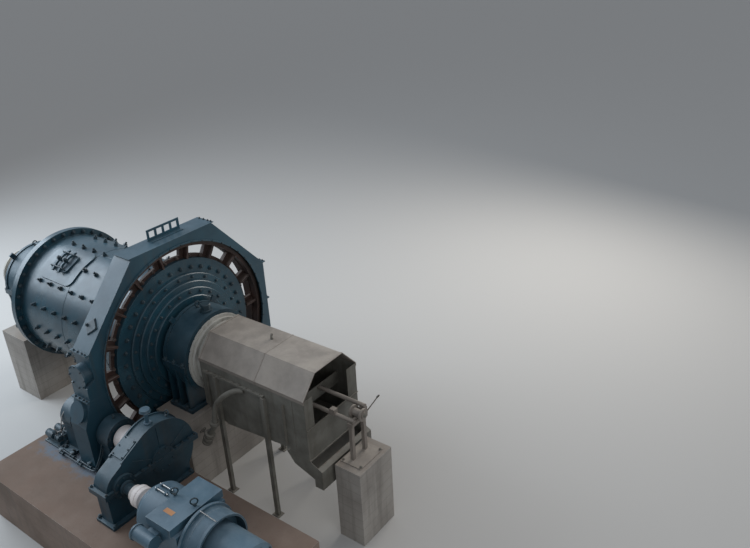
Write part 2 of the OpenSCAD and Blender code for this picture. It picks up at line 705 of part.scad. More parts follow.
module motor_base() color(blue) {
    for (s = [-1, 1]) block([motor_x + 180, s < 0 ? motor_y - 600 : motor_y + 240, drive_top],
        [motor_rear_x + 260, s < 0 ? motor_y - 240 : motor_y + 600, motor_foot_z]);
    block([motor_x + 180, motor_y - 240, drive_top],
        [motor_x + 300, motor_y + 240, motor_foot_z]);
    block([motor_rear_x + 140, motor_y - 240, drive_top],
        [motor_rear_x + 260, motor_y + 240, motor_foot_z]);
}

// Two small pumps with their motors, on one base plate.
pump_x = -1980;
pump_lines = [-2300, -2120];
pump_rise = 125;
module lube_pump_set() color(blue) {
    plate = drive_top + 30;
    block([pump_x, pump_lines[0] - 90, drive_top], [pump_x + 460, pump_lines[1] + 90, plate]);
    for (y = pump_lines) {
        block([pump_x + 30, y - 40, plate], [pump_x + 420, y + 40, plate + 70]);
        translate([pump_x + 30, y, plate + pump_rise]) rotate([0, 90, 0]) {
            cylinder(r = 62, h = 190);
            cylinder(r = 24, h = 390);
            translate([0, 0, 290]) cylinder(r = 56, h = 90);
        }
        block([pump_x + 330, y - 35, plate + 60], [pump_x + 400, y + 35, plate + pump_rise]);
    }
}

// Discharge end
box_half = hood_half - sheet_t;
box_end_x = hood_x + hood_long;
skirt_z = hood_side_z - 60;
module hood_outline(inset) {
    turn = atan2(hood_roof_z - hood_side_z, hood_half - hood_roof_half);
    a = hood_roof_half - inset * tan(turn / 2);
    s = hood_side_z - inset * tan((90 - turn) / 2);
    low = skirt_z - inset;
    polygon([[-a, hood_roof_z - inset], [a, hood_roof_z - inset], [hood_half - inset, s],
        [hood_half - inset, low], [-hood_half + inset, low], [-hood_half + inset, s]]);
}
spout_hole_r = 615;
module discharge_hood() color(beige) difference() {
    cross_plate(hood_x, hood_long) hood_outline(0);
    cross_plate(hood_x + sheet_t, hood_long) hood_outline(sheet_t);
    on_mill_axis(hood_x - 1) cylinder(r = spout_hole_r, h = 20, $fn = 128);
}

// Extrudes an outline drawn in X and Z (from the mill axis) to both sides of the mill.
module side_plate(half) translate([0, half, axis_height]) rotate([90, 0, 0])
    linear_extrude(2 * half) children();
// The box's bottom rises towards the chute, where it ends.
chute_top_x = box_end_x - 478;
module box_side(t) polygon([[hood_x + t, box_top_z + t], [box_end_x - t, box_top_z + t],
    [box_end_x - t, -box_drop - t], [chute_top_x + t, -box_drop - t], [chute_top_x + t, -760 + t],
    [hood_x + 490, -890 + t], [hood_x + t, -spout_hole_r - 25 + t]]);
box_top_z = hood_side_z - 5;
ledge_z = 80;
module discharge_box() color(beige) difference() {
    union() {
        difference() {
            side_plate(box_half) box_side(0);
            side_plate(box_half - sheet_t) box_side(sheet_t);
        }
        for (s = [-1, 1]) {
            side = s < 0 ? -box_half - 45 : box_half;
            block([hood_x + 90, side, axis_height + ledge_z],
                [hood_x + 1490, side + 45, axis_height + ledge_z + 12]);
            block([hood_x + 90, side, axis_height + ledge_z - 24],
                [hood_x + 1490, side + 8, axis_height + ledge_z]);
            for (x = [hood_x + 160, hood_x + 1900])
                block([x, side, axis_height - 700], [x + 8, side + 45, axis_height + ledge_z]);
        }
        block([box_end_x - 420, -box_half + 4, axis_height - 240],
            [box_end_x - 408, box_half - 4, axis_height]);
    }
    block([box_end_x - 20, -box_half + 196, axis_height - end_sill_drop],
        [box_end_x + 20, box_half - 236, axis_height + 500]);
    on_mill_axis(hood_x - 1) cylinder(r = spout_hole_r, h = 20, $fn = 128);
    translate([hood_x + 490, 0, axis_height - 1000]) cylinder(r = 150, h = 300);
    block([hood_x + 20, -box_half + 12, axis_height + 100],
        [box_end_x - 9, box_half - 12, axis_height + 500]);
    block([hood_x - 9, -box_half - 1, axis_height + skirt_z],
        [hood_x + sheet_t, box_half + 1, axis_height + 500]);
}
module chute_side(t) polygon([[chute_top_x + t, -box_drop + 3 * t], [box_end_x, -box_drop + 3 * t],
    [box_end_x + chute_reach - t, -box_drop - 120 - t],
    [box_end_x + chute_reach - t, -box_drop - 480 - t],
    [box_end_x + 72 + t, -box_drop - 480 - t], [box_end_x + 72 + t, -box_drop - 330 + t],
    [chute_top_x + 140 + t, -box_drop - 190 + t]]);
module discharge_chute() color(beige) difference() {
    side_plate(box_half) chute_side(0);
    side_plate(box_half - sheet_t) chute_side(sheet_t);
    block([chute_top_x + sheet_t, -box_half + sheet_t, axis_height - box_drop - 60],
        [box_end_x - sheet_t, box_half - sheet_t, axis_height - box_drop + 1]);
}
leg_wide = 80;
module box_legs() color(beige)
    for (x = [hood_x + 330, hood_x + 1440], s = [-1, 1]) {
        near = s < 0 ? -box_half - 62 : box_half;
        block([x, near, 0], [x + leg_wide, near + 62, axis_height + ledge_z - 24]);
        block([x - 40, near - 40, 0], [x + leg_wide + 40, near + 102, 12]);
    }

// A round bar from a to b.
module bar(a, b, r) {
    d = b - a;
    translate(a) rotate([0, acos(d[2] / norm(d)), atan2(d[1], d[0])])
        cylinder(r = r, h = norm(d), $fn = 32);
}
pipe_r = 46;
pipe_path = [[1620, -box_half + 38, 12], [1380, -735, -30], [1200, -830, -170], [1090, -880, -330],
    [1030, -900, -560], [1010, -905, -760], [880, -930, -950], [760, -950, -1200]];
module water_pipe() color(beige) translate([0, 0, axis_height]) difference() {
    pipe_run();
    block([1300, -box_half, -300], [1900, 0, 300]);
}
module pipe_run() {
    for (i = [0 : len(pipe_path) - 2]) {
        bar(pipe_path[i], pipe_path[i + 1], pipe_r);
        if (i > 0) translate(pipe_path[i]) sphere(r = pipe_r + 6, $fn = 32);
    }
    for (k = [0.1, 0.45, 0.9])
        bar(pipe_path[6] + k * (pipe_path[7] - pipe_path[6]),
            pipe_path[6] + (k + 0.09) * (pipe_path[7] - pipe_path[6]), 90);
    translate(pipe_path[5] + [0, 0, 20]) cylinder(r = 85, h = 40, $fn = 32);
}

// Stand with two bars that reach into the box's end
stand_top = axis_height - stand_rise;
stand_x = box_end_x + chute_reach + stand_room;  // near face of the stand's pier
stand_mid = stand_x + 130;                       // near edge of the stand's head
bar_r = 35;
near_bar = [-150, axis_height - 160];
far_bar = [150, axis_height - 40];
module stand_pier() pier(stand_x, stand_x + stand_pier_long, -420, 420, stand_top);
module outlet_stand() color(beige) {
    base = stand_top + 12;
    head = near_bar[1] - bar_r;
    block([stand_x + 20, -300, stand_top], [stand_x + stand_pier_long - 70, 300, base]);
    for (s = [-1, 1]) translate([stand_mid + 10, 0, 0]) rotate([90, 0, 90]) linear_extrude(60)
        polygon([[s * 190, base], [s * 125, base], [s * 115, head - 40], [s * 180, head - 40]]);
    block([stand_mid, -200, head - 60], [stand_mid + 100, 200, head]);
    block([stand_mid, 100, head - 1], [stand_mid + 100, 200, far_bar[1] - bar_r]);
    block([stand_mid + 30, -110, head - 1], [stand_mid + 70, 110, head + 40]);
    bar([stand_mid + 60, 190, head - 30], [stand_mid + 250, 300, axis_height + 110], 10);
}
module outlet_bars() color(beige) {
    for (b = [near_bar, far_bar]) translate([box_end_x - 408, b[0], b[1]]) rotate([0, 90, 0])
        cylinder(r = bar_r, h = stand_mid + 100 - box_end_x + 408);
    block([stand_mid - 350, -195, near_bar[1] + 20], [stand_mid - 250, -105, near_bar[1] + 100]);
}
// Two flanged discs on a hub that lies on the stand's head.
module outlet_rollers() color(beige)
    translate([stand_mid - 40, 0, near_bar[1] - bar_r + 40 + 62]) rotate([0, 90, 0]) {
        cylinder(r = 62, h = 240);
        for (z = [0, 190]) translate([0, 0, z]) cylinder(r = 105, h = 32);
    }

feed_pier();
discharge_pier();
drive_pier();
stand_pier();
feed_bearing_base();
feed_bearing_cap();
discharge_bearing_base();
discharge_bearing_cap();
shell();
manhole_cover();
feed_head();
feed_spout();
discharge_head();
girth_gear();
outlet_spout();
guard_top();
guard_near_side();
guard_far_side();
guard_sump();
guard_bracket();
guard_side_cover();
pinion_shaft();
pinion_bearing_feed();
pinion_bearing_out();
slow_coupling();
gearbox_lower();
gearbox_upper();
gearbox_cover();
gearbox_breather();
fast_coupling();
motor_frame();
motor_top_box();
motor_cowl();
motor_ring_housing();
motor_terminal_box();
motor_base();
lube_pump_set();
discharge_hood();
discharge_box();
discharge_chute();
water_pipe();
box_legs();
outlet_stand();
outlet_bars();
outlet_rollers();
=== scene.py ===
"""Looks of the wet ball mill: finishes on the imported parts, and the bolts, seams and trim on them."""

from math import pi

import bpy
import numpy as np
from mathutils import Matrix, Vector


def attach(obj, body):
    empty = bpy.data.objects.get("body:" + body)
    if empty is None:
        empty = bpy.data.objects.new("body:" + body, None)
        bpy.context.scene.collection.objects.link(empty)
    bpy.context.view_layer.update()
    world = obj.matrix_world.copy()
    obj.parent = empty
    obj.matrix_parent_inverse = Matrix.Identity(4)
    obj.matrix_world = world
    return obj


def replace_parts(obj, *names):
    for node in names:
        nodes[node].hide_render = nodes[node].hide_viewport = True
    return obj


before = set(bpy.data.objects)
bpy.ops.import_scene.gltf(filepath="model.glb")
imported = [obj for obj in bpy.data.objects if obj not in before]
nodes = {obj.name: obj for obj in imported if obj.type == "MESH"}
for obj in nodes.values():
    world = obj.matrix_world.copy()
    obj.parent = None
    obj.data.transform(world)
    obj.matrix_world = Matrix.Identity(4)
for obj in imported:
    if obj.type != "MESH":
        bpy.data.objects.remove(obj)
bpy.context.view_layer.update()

# The viewpoint of the photograph: a wide lens on a gallery beyond the discharge end,
# looking down and back along the mill, with the camera rolled a little.
PHOTO_WIDTH = 750
FOCAL_PX = 756
SENSOR_MM = 36
CAMERA_PLACE = (9.584, -7.366, 9.516)
CAMERA_RIGHT = Vector((0.80438031, 0.59226951, -0.04678825))
CAMERA_UP = Vector((-0.23175349, 0.38531388, 0.89320968))
camera_data = bpy.data.cameras.new("photo_camera")
camera_data.sensor_width = SENSOR_MM
camera_data.lens = FOCAL_PX / PHOTO_WIDTH * SENSOR_MM
camera_data.clip_end = 200
camera = bpy.data.objects.new("photo_camera", camera_data)
bpy.context.collection.objects.link(camera)
camera_turn = Matrix((CAMERA_RIGHT, CAMERA_UP, CAMERA_RIGHT.cross(CAMERA_UP))).transposed()
camera.matrix_world = Matrix.Translation(CAMERA_PLACE) @ camera_turn.to_4x4()
bpy.context.scene.camera = camera
bpy.context.scene.view_settings.view_transform = "Standard"

# The studio: a pale level floor at the foot of the piers, with a soft sky and two wide
# lamps, the stronger one high on the far side as a roof light is.
FLOOR_HALF = 150
FLOOR_COLOUR = (0.45, 0.44, 0.425, 1)
floor_mesh = bpy.data.meshes.new("studio_floor")
floor_mesh.from_pydata(
    [(-FLOOR_HALF, -FLOOR_HALF, 0), (FLOOR_HALF, -FLOOR_HALF, 0),
     (FLOOR_HALF, FLOOR_HALF, 0), (-FLOOR_HALF, FLOOR_HALF, 0)], [], [(0, 1, 2, 3)])
floor = bpy.data.objects.new("studio_floor", floor_mesh)
bpy.context.collection.objects.link(floor)
floor_finish = bpy.data.materials.new("studio_floor")
floor_finish.use_nodes = True
floor_shader = floor_finish.node_tree.nodes["Principled BSDF"]
floor_shader.inputs["Base Color"].default_value = FLOOR_COLOUR
floor_shader.inputs["Roughness"].default_value = 0.9
floor_mesh.materials.append(floor_finish)

studio_sky = bpy.data.worlds.new("studio_sky")
studio_sky.use_nodes = True
sky_light = studio_sky.node_tree.nodes["Background"]
sky_light.inputs["Color"].default_value = (0.86, 0.92, 1.0, 1)
sky_light.inputs["Strength"].default_value = 0.45
bpy.context.scene.world = studio_sky


def soft_lamp(name, place, aim, size, watts, colour):
    """A square area lamp at place, turned so that it shines at aim."""
    data = bpy.data.lights.new(name, "AREA")
    data.size = size
    data.energy = watts
    data.color = colour
    lamp = bpy.data.objects.new(name, data)
    lamp.location = place
    lamp.rotation_euler = (Vector(aim) - Vector(place)).to_track_quat("-Z", "Y").to_euler()
    bpy.context.collection.objects.link(lamp)


soft_lamp("roof_light", (-13, -3, 10), (-1, 0, 2), 11, 2300, (0.8, 0.9, 1.0))
soft_lamp("gable_light", (3, 13, 9), (0, 0, 2), 7, 1000, (1.0, 0.96, 0.9))
soft_lamp("door_light", (12, -4, 6), (0, -1, 2), 6, 150, (1.0, 0.98, 0.95))

# The drum shell is rolled from plate, welded along its seams and painted dark teal-blue.
# Its paint is years old: it has mottled, dust lies on top of it, dirty water has run down
# its sides and the primer shows where edges have been knocked. The dust is grey-blue, lighter
# than the paint, so on the upper faces it is also painted sheen that stands in for the sky's reflection.


def add(tree, kind, values=(), **settings):
    """Adds one shader node. A value that is another node's socket is linked, others are set."""
    made = tree.nodes.new("ShaderNode" + kind)
    for key, value in settings.items():
        setattr(made, key, value)
    for socket, value in dict(values).items():
        if isinstance(value, bpy.types.NodeSocket):
            tree.links.new(value, made.inputs[socket])
        else:
            made.inputs[socket].default_value = value
    return made


def maths(tree, operation, *values):
    """The result of one operation on numbers or sockets."""
    return add(tree, "Math", dict(enumerate(values)), operation=operation).outputs[0]


def spread(tree, value, low, high, to_low=0.0, to_high=1.0):
    """Eases value from to_low to to_high as it goes from low to high."""
    eased = add(tree, "MapRange", {"Value": value, "From Min": low, "From Max": high,
                                   "To Min": to_low, "To Max": to_high})
    eased.interpolation_type = "SMOOTHSTEP"
    return eased.outputs[0]


def tint(tree, mask, under, over):
    """The colour under, covered by the colour over where mask is 1."""
    made = add(tree, "Mix", {0: mask, 6: under, 7: over}, data_type="RGBA")
    return made.outputs[2]


def cloud(tree, place, scale, detail=5.0, rough=0.6):
    """Noise from 0 to 1, of this many lumps to a metre."""
    values = {"Vector": place, "Scale": scale, "Detail": detail, "Roughness": rough}
    return add(tree, "TexNoise", values).outputs[0]


def stretched(tree, place, x, y, z):
    """Object coordinates scaled by x, y and z, so that a pattern is drawn out."""
    return add(tree, "Mapping", {"Vector": place, "Scale": (x, y, z)}).outputs[0]


def new_group(name, inputs, outputs):
    """An empty shader node group with named number sockets."""
    tree = bpy.data.node_groups.new(name, "ShaderNodeTree")
    for label, default in inputs.items():
        socket = tree.interface.new_socket(label, in_out="INPUT", socket_type="NodeSocketFloat")
        socket.default_value = default
    for label in outputs:
        tree.interface.new_socket(label, in_out="OUTPUT", socket_type="NodeSocketFloat")
    start = tree.nodes.new("NodeGroupInput").outputs
    end = tree.nodes.new("NodeGroupOutput").inputs
    place = tree.nodes.new("ShaderNodeTexCoord").outputs["Object"]
    return tree, start, end, place


# Dust and painted sheen: thick where a face looks up, none where it looks down, and broken
# into patches. Its light colour on upward faces is partly dust and partly painted reflection.
dust_and_sheen, start, end, place = new_group("dust_and_sheen", {"Amount": 0.5, "Patch": 2.5}, ["Mask"])
facing = add(dust_and_sheen, "SeparateXYZ",
             {0: dust_and_sheen.nodes.new("ShaderNodeNewGeometry").outputs["Normal"]}).outputs[2]
level = spread(dust_and_sheen, facing, 0.15, 0.95)
patches = spread(dust_and_sheen, cloud(dust_and_sheen, place, start["Patch"], 8, 0.65), 0.32, 0.68, 0.3)
mask = maths(dust_and_sheen, "MULTIPLY", maths(dust_and_sheen, "MULTIPLY", level, patches), start["Amount"])
dust_and_sheen.links.new(mask, end["Mask"])

# Edge wear: the rounded normal leaves the true one near an edge, and noise breaks the line.
edge_wear, start, end, place = new_group(
    "edge_wear", {"Amount": 0.6, "Radius": 0.012, "Patch": 14.0}, ["Mask"])
rounded = add(edge_wear, "Bevel", {"Radius": start["Radius"]}, samples=4).outputs[0]
true_normal = edge_wear.nodes.new("ShaderNodeNewGeometry").outputs["Normal"]
agree = add(edge_wear, "VectorMath", {0: rounded, 1: true_normal},
            operation="DOT_PRODUCT").outputs["Value"]
edge = spread(edge_wear, agree, 0.99, 0.86)
broken = spread(edge_wear, cloud(edge_wear, place, start["Patch"], 6, 0.7), 0.42, 0.6)
mask = maths(edge_wear, "MULTIPLY", maths(edge_wear, "MULTIPLY", edge, broken), start["Amount"])
edge_wear.links.new(mask, end["Mask"])

# Dirty runs: noise drawn out along the height, kept off faces that look up or down.
dirty_runs, start, end, place = new_group("dirty_runs", {"Amount": 0.5, "Width": 5.0}, ["Mask"])
streaks = cloud(dirty_runs, stretched(dirty_runs, place, 1, 1, 0.07), start["Width"], 7, 0.7)
facing = add(dirty_runs, "SeparateXYZ",
             {0: dirty_runs.nodes.new("ShaderNodeNewGeometry").outputs["Normal"]}).outputs[2]
upright = spread(dirty_runs, maths(dirty_runs, "ABSOLUTE", facing), 0.95, 0.3)
mask = maths(dirty_runs, "MULTIPLY", spread(dirty_runs, streaks, 0.48, 0.72), upright)
dirty_runs.links.new(maths(dirty_runs, "MULTIPLY", mask, start["Amount"]), end["Mask"])

# Mottle: slow changes of tone, and a fine grain for the bump of brushed or cast surfaces.
mottle, start, end, place = new_group(
    "mottle", {"Scale": 1.6, "Grain Scale": 90.0, "Casting": 0.0}, ["Tone", "Grain"])
broad = cloud(mottle, place, start["Scale"], 9, 0.62)
mottle.links.new(spread(mottle, broad, 0.28, 0.72), end["Tone"])
fine = cloud(mottle, place, start["Grain Scale"], 3, 0.5)
lumps = cloud(mottle, place, 28, 4, 0.6)
mottle.links.new(maths(mottle, "ADD", maths(mottle, "MULTIPLY", fine, 0.25),
                       maths(mottle, "MULTIPLY", lumps, start["Casting"])), end["Grain"])


def layered(finish_name, colour, dark, dust_and_sheen_colour, worn_colour, dust=0.4, runs=0.35, wear=0.5,
            casting=0.0, gloss=0.36, tone_scale=1.6, run_colour=(0.05, 0.045, 0.04), bump=0.25,
            metal=0.0):
    """A painted surface in layers: the colour drifts to dark with the mottle, dirty runs and
    dust cover it, and the worn colour shows along its edges. The dust colour on upward faces
    also serves as painted sheen. Dust is matt and paint is not."""
    finish = bpy.data.materials.new(finish_name)
    finish.use_nodes = True
    tree = finish.node_tree
    shader = tree.nodes["Principled BSDF"]

    def layer(group, **values):
        made = tree.nodes.new("ShaderNodeGroup")
        made.node_tree = group
        for label, value in values.items():
            made.inputs[label.replace("_", " ")].default_value = value
        return made.outputs

    age = layer(mottle, Scale=tone_scale, Casting=casting)
    # The dust layer on upward faces is also painted sheen: a lighter colour where the sky would reflect.
    dust_and_sheen_mask = layer(dust_and_sheen, Amount=dust)["Mask"]
    wear_mask = layer(edge_wear, Amount=wear)["Mask"]
    run_mask = layer(dirty_runs, Amount=runs)["Mask"]
    paint = tint(tree, age["Tone"], (*dark, 1), (*colour, 1))
    paint = tint(tree, run_mask, paint, (*run_colour, 1))
    paint = tint(tree, dust_and_sheen_mask, paint, (*dust_and_sheen_colour, 1))
    paint = tint(tree, wear_mask, paint, (*worn_colour, 1))
    tree.links.new(paint, shader.inputs["Base Color"])
    rough = spread(tree, age["Tone"], 0, 1, gloss + 0.12, gloss)
    rough = maths(tree, "ADD", rough, maths(tree, "MULTIPLY", dust_and_sheen_mask, 0.4))
    tree.links.new(rough, shader.inputs["Roughness"])
    shader.inputs["Metallic"].default_value = metal
    relief = add(tree, "Bump", {"Strength": bump, "Distance": 0.004, "Height": age["Grain"]})
    tree.links.new(relief.outputs[0], shader.inputs["Normal"])
    return finish


BLUE = (0.02, 0.068, 0.096)
BLUE_DARK = (0.01, 0.036, 0.054)
# Grey-blue dust, lighter than the paint: dust and painted sheen on the upper faces.
BLUE_DUST_AND_SHEEN = (0.17, 0.22, 0.26)
BLUE_WORN = (0.15, 0.18, 0.2)
drum_enamel = layered("drum_enamel", BLUE, BLUE_DARK, BLUE_DUST_AND_SHEEN, BLUE_WORN, dust=0.25, runs=0.35,
                      gloss=0.24, bump=0.12)


def dress(finish, *names):
    """Gives each CAD node this one finish."""
    for name in names:
        mesh = nodes[name].data
        mesh.materials.clear()
        mesh.materials.append(finish)


dress(drum_enamel, "shell", "feed_head", "discharge_head")


def tube_faces(rows, sides, loop):
    """Faces over rows of sides points each: a quad from every point to its next neighbours,
    round each row and on to the next row. Where loop is set the last row joins the first, and
    otherwise a flat face closes each end."""
    row, col = np.meshgrid(np.arange(rows - (not loop)), np.arange(sides), indexing="ij")
    next_row, step = (row + 1) % rows, (col + 1) % sides
    quads = np.stack([row * sides + col, row * sides + step, next_row * sides + step,
                      next_row * sides + col], axis=2).reshape(-1, 4)
    ends = np.stack([np.arange(sides)[::-1], (rows - 1) * sides + np.arange(sides)])
    return [quads] if loop else [quads, ends]


def solid_of_turn(profile, sides, loop=False):
    """Points (r cos a, r sin a, z) for each step (r, z) of the profile and each even angle a.
    Where loop is set the profile is closed and makes a ring. Returns points and faces."""
    r, z = np.array(profile, float).T
    angle = np.arange(sides) * 2 * pi / sides
    points = np.stack([np.outer(r, np.cos(angle)), np.outer(r, np.sin(angle)),
                       np.repeat(z[:, None], sides, 1)], axis=2).reshape(-1, 3)
    return points, tube_faces(len(r), sides, loop)


def ring_round(places, u, v, radius, sides):
    """A circle of points round each place: place + radius (u cos a + v sin a), a being even."""
    angle = np.arange(sides) * 2 * pi / sides
    across = np.cos(angle)[None, :, None] * u[:, None] + np.sin(angle)[None, :, None] * v[:, None]
    return (places[:, None] + radius * across).reshape(-1, 3)


def joined(*solids):
    """Several solids as one: the points follow each other and the faces count on from them."""
    points, faces, count = [], [], 0
    for these_points, these_faces in solids:
        points.append(these_points)
        faces += [group + count for group in these_faces]
        count += len(these_points)
    return np.concatenate(points), faces


def copies(solid, places, axes, spin=0.0):
    """The solid at each place with its Z along each axis: point = place + x u + y v + z axis,
    where u and v are two unit vectors square to the axis, turned by spin."""
    points, faces = solid
    places = np.atleast_2d(np.array(places, float))
    axes = np.broadcast_to(np.array(axes, float), places.shape)
    axes = axes / np.linalg.norm(axes, axis=1, keepdims=True)
    helper = np.where(np.abs(axes[:, 2:]) > 0.9, (1.0, 0.0, 0.0), (0.0, 0.0, 1.0))
    u = np.cross(helper, axes)
    u /= np.linalg.norm(u, axis=1, keepdims=True)
    v = np.cross(axes, u)
    turn = np.broadcast_to(np.array(spin, float), len(places))[:, None]
    u, v = u * np.cos(turn) + v * np.sin(turn), v * np.cos(turn) - u * np.sin(turn)
    moved = (places[:, None] + points[None, :, :1] * u[:, None] + points[None, :, 1:2] * v[:, None]
             + points[None, :, 2:] * axes[:, None]).reshape(-1, 3)
    offset = np.arange(len(places)) * len(points)
    return moved, [(group[None] + offset[:, None, None]).reshape(-1, group.shape[1])
                   for group in faces]


def piece(name, solid, finish, body, smooth=None, bevel=None):
    """Puts a solid into a new object of the scene, which rides on body. smooth is the largest
    angle that is still shaded round, and bevel the width to which sharp edges are broken."""
    points, faces = solid
    mesh = bpy.data.meshes.new(name)
    mesh.from_pydata(points.tolist(), [], [face for group in faces for face in group.tolist()])
    mesh.materials.append(finish)
    made = bpy.data.objects.new(name, mesh)
    bpy.context.collection.objects.link(made)
    if bevel:
        cut = made.modifiers.new("broken_edges", "BEVEL")
        cut.width = bevel
        cut.segments = 2
        cut.limit_method = "ANGLE"
        cut.angle_limit = 0.6
    if smooth:
        mesh.shade_smooth()
        mesh.set_sharp_from_angle(angle=smooth)
    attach(made, body)
    return made


def nut_on_stud(size):
    """A stud of diameter size through a washer and a hexagon nut with its corners taken off."""
    washer = solid_of_turn([(size * 1.05, -size * 0.2), (size * 1.05, size * 0.16)], 12)
    nut = solid_of_turn([(size * 0.9, size * 0.16), (size * 0.9, size * 0.85),
                         (size * 0.78, size * 0.96)], 6)
    stud = solid_of_turn([(size * 0.5, size * 0.96), (size * 0.5, size * 1.3),
                          (size * 0.4, size * 1.4)], 8)
    return joined(washer, nut, stud)


AXIS_Z = 2.4
MILL_AXIS = (0, AXIS_Z)


def ring_places(x, radius, angles, centre=MILL_AXIS):
    """Points on a circle in the plane at x, at angles in degrees from +Y towards +Z."""
    a = np.radians(angles)
    return np.stack([np.full(len(a), x), centre[0] + radius * np.cos(a),
                     centre[1] + radius * np.sin(a)], axis=1)


def every(count, first=0.0):
    """Even angles in degrees, once round."""
    return first + np.arange(count) * 360.0 / count


def grid(*axes):
    """Every pairing of the given coordinates, as rows of points."""
    return np.stack([values.ravel() for values in np.meshgrid(*axes, indexing="ij")], axis=1)


SHELL_R = 1.228
MANHOLE_X, MANHOLE_TURN = -3.12, 116.5
LINER_ROWS = MANHOLE_TURN - 45 + 22.5 * np.arange(16)
LINER_X = -3.52 + 0.335 * np.arange(8)
liner_turn, liner_x = grid(LINER_ROWS, LINER_X).T
outward = ring_places(0, 1, liner_turn, (0, 0))
liner_places = outward * SHELL_R + np.stack([liner_x, 0 * liner_x, 0 * liner_x + AXIS_Z], axis=1)
at_manhole = (np.abs(liner_x - MANHOLE_X) < 0.56) & (np.abs(liner_turn - MANHOLE_TURN) < 21)
liner_bolt = joined(solid_of_turn([(0.046, -0.008), (0.046, 0.012)], 14),
                    solid_of_turn([(0.04, 0.012), (0.04, 0.05)], 6),
                    solid_of_turn([(0.021, 0.05), (0.021, 0.082), (0.017, 0.087)], 10))
liner_bolts = copies(liner_bolt, liner_places[~at_manhole], outward[~at_manhole])
# Its grey-blue dust colour is partly dust and partly painted sheen on upward faces.
bolt_enamel = layered("bolt_enamel", (0.022, 0.055, 0.075), (0.012, 0.028, 0.038),
                      (0.11, 0.14, 0.16), (0.07, 0.06, 0.055), dust=0.25, wear=0.6, gloss=0.32)
piece("liner_bolts", liner_bolts, bolt_enamel, "drum")


def weld_bead(places, radius, closed=True):
    """A flat-sided bead carried along the places: each section is a hexagon of this radius,
    square to the path, with one vector away from the mill axis and one beside it."""
    ahead = np.roll(places, -1, 0) - np.roll(places, 1, 0)
    if not closed:
        ahead[0], ahead[-1] = places[1] - places[0], places[-1] - places[-2]
    ahead /= np.linalg.norm(ahead, axis=1, keepdims=True)
    out = (places - (0, 0, AXIS_Z)) * (0, 1, 1)
    out -= (out * ahead).sum(1, keepdims=True) * ahead
    out /= np.linalg.norm(out, axis=1, keepdims=True)
    points = ring_round(places, out, np.cross(ahead, out), radius, 6)
    return points, tube_faces(len(places), 6, closed)


SEAM_X = (-3.995, -2.62, -1.35, -0.752)
SEAM_TURNS = (20, 95, 200)
BEAD_R = 0.005
seams = [weld_bead(ring_places(x, SHELL_R, every(96)), BEAD_R) for x in SEAM_X]
for first, last, turn in zip(SEAM_X, SEAM_X[1:], SEAM_TURNS):
    start, end = ring_places(first, SHELL_R, [turn])[0], ring_places(last, SHELL_R, [turn])[0]
    seams.append(weld_bead(np.linspace(start, end, 24), BEAD_R, closed=False))
piece("shell_welds", joined(*seams), drum_enamel, "drum", smooth=1.0)

# The manhole cover is dished plate, pressed on its pad by two arched bridges. Each bridge
# has a nut on a stud in its middle, and a bail handle of round bar is welded to the cover.
MANHOLE = ring_places(MANHOLE_X, SHELL_R, [MANHOLE_TURN])[0]
MANHOLE_OUT = ring_places(0, 1, [MANHOLE_TURN], (0, 0))[0]
MANHOLE_SIDE = np.cross((1.0, 0, 0), MANHOLE_OUT)
cover_enamel = layered("cover_enamel", (0.045, 0.105, 0.14), BLUE_DARK, BLUE_DUST_AND_SHEEN, BLUE_WORN,
                       dust=0.55, runs=0.3, wear=0.8, casting=0.4)
dress(cover_enamel, "manhole_cover")


def on_manhole(x, y, z):
    """A place by its distances along the mill, round the shell and out from the shell."""
    x, y, z = np.broadcast_arrays(*[np.array(v, float) for v in (x, y, z)])
    return MANHOLE + (x[..., None] * (1.0, 0, 0) + y[..., None] * MANHOLE_SIDE
                      + z[..., None] * MANHOLE_OUT)


def rod(path, radius, sides=10):
    """A round bar along a smooth open path: at each place a ring of points square to the path,
    at cos and sin of an even turn along two vectors that are carried with it."""
    path = np.array(path, float)
    ahead = np.gradient(path, axis=0)
    ahead /= np.linalg.norm(ahead, axis=1, keepdims=True)
    spine = path[-1] - path[0]
    helper = np.eye(3)[np.argmin(np.abs(spine) + np.abs(ahead).sum(0) / len(path))]
    u = np.cross(ahead, helper)
    u /= np.linalg.norm(u, axis=1, keepdims=True)
    points = ring_round(path, u, np.cross(ahead, u), radius, sides)
    return points, tube_faces(len(path), sides, False)


def curve(corners, count=24):
    """A smooth path through the corners: the Catmull-Rom cubic, taken at even steps."""
    c = np.array(corners, float)
    c = np.concatenate([2 * c[:1] - c[1:2], c, 2 * c[-1:] - c[-2:-1]])
    at = np.linspace(0, len(c) - 3 - 1e-9, count)
    k = at.astype(int)
    t = (at - k)[:, None]
    a, b, d, e = c[k], c[k + 1], c[k + 2], c[k + 3]
    return 0.5 * (2 * b + (d - a) * t + (2 * a - 5 * b + 4 * d - e) * t ** 2
                  + (3 * b - a - 3 * d + e) * t ** 3)


bridge_studs = copies(nut_on_stud(0.046), on_manhole([-0.095, 0.095], 0, 0.137), MANHOLE_OUT)
BAIL_ALONG = [-0.2, -0.2, -0.17, 0, 0.17, 0.2, 0.2]
BAIL_RISE = [0.055, 0.1, 0.125, 0.13, 0.125, 0.1, 0.055]
bails = [rod(curve(on_manhole(BAIL_ALONG, side, BAIL_RISE), 30), 0.011) for side in (-0.17, 0.17)]
piece("manhole_fittings", joined(bridge_studs, *bails), bolt_enamel, "drum", smooth=0.7)

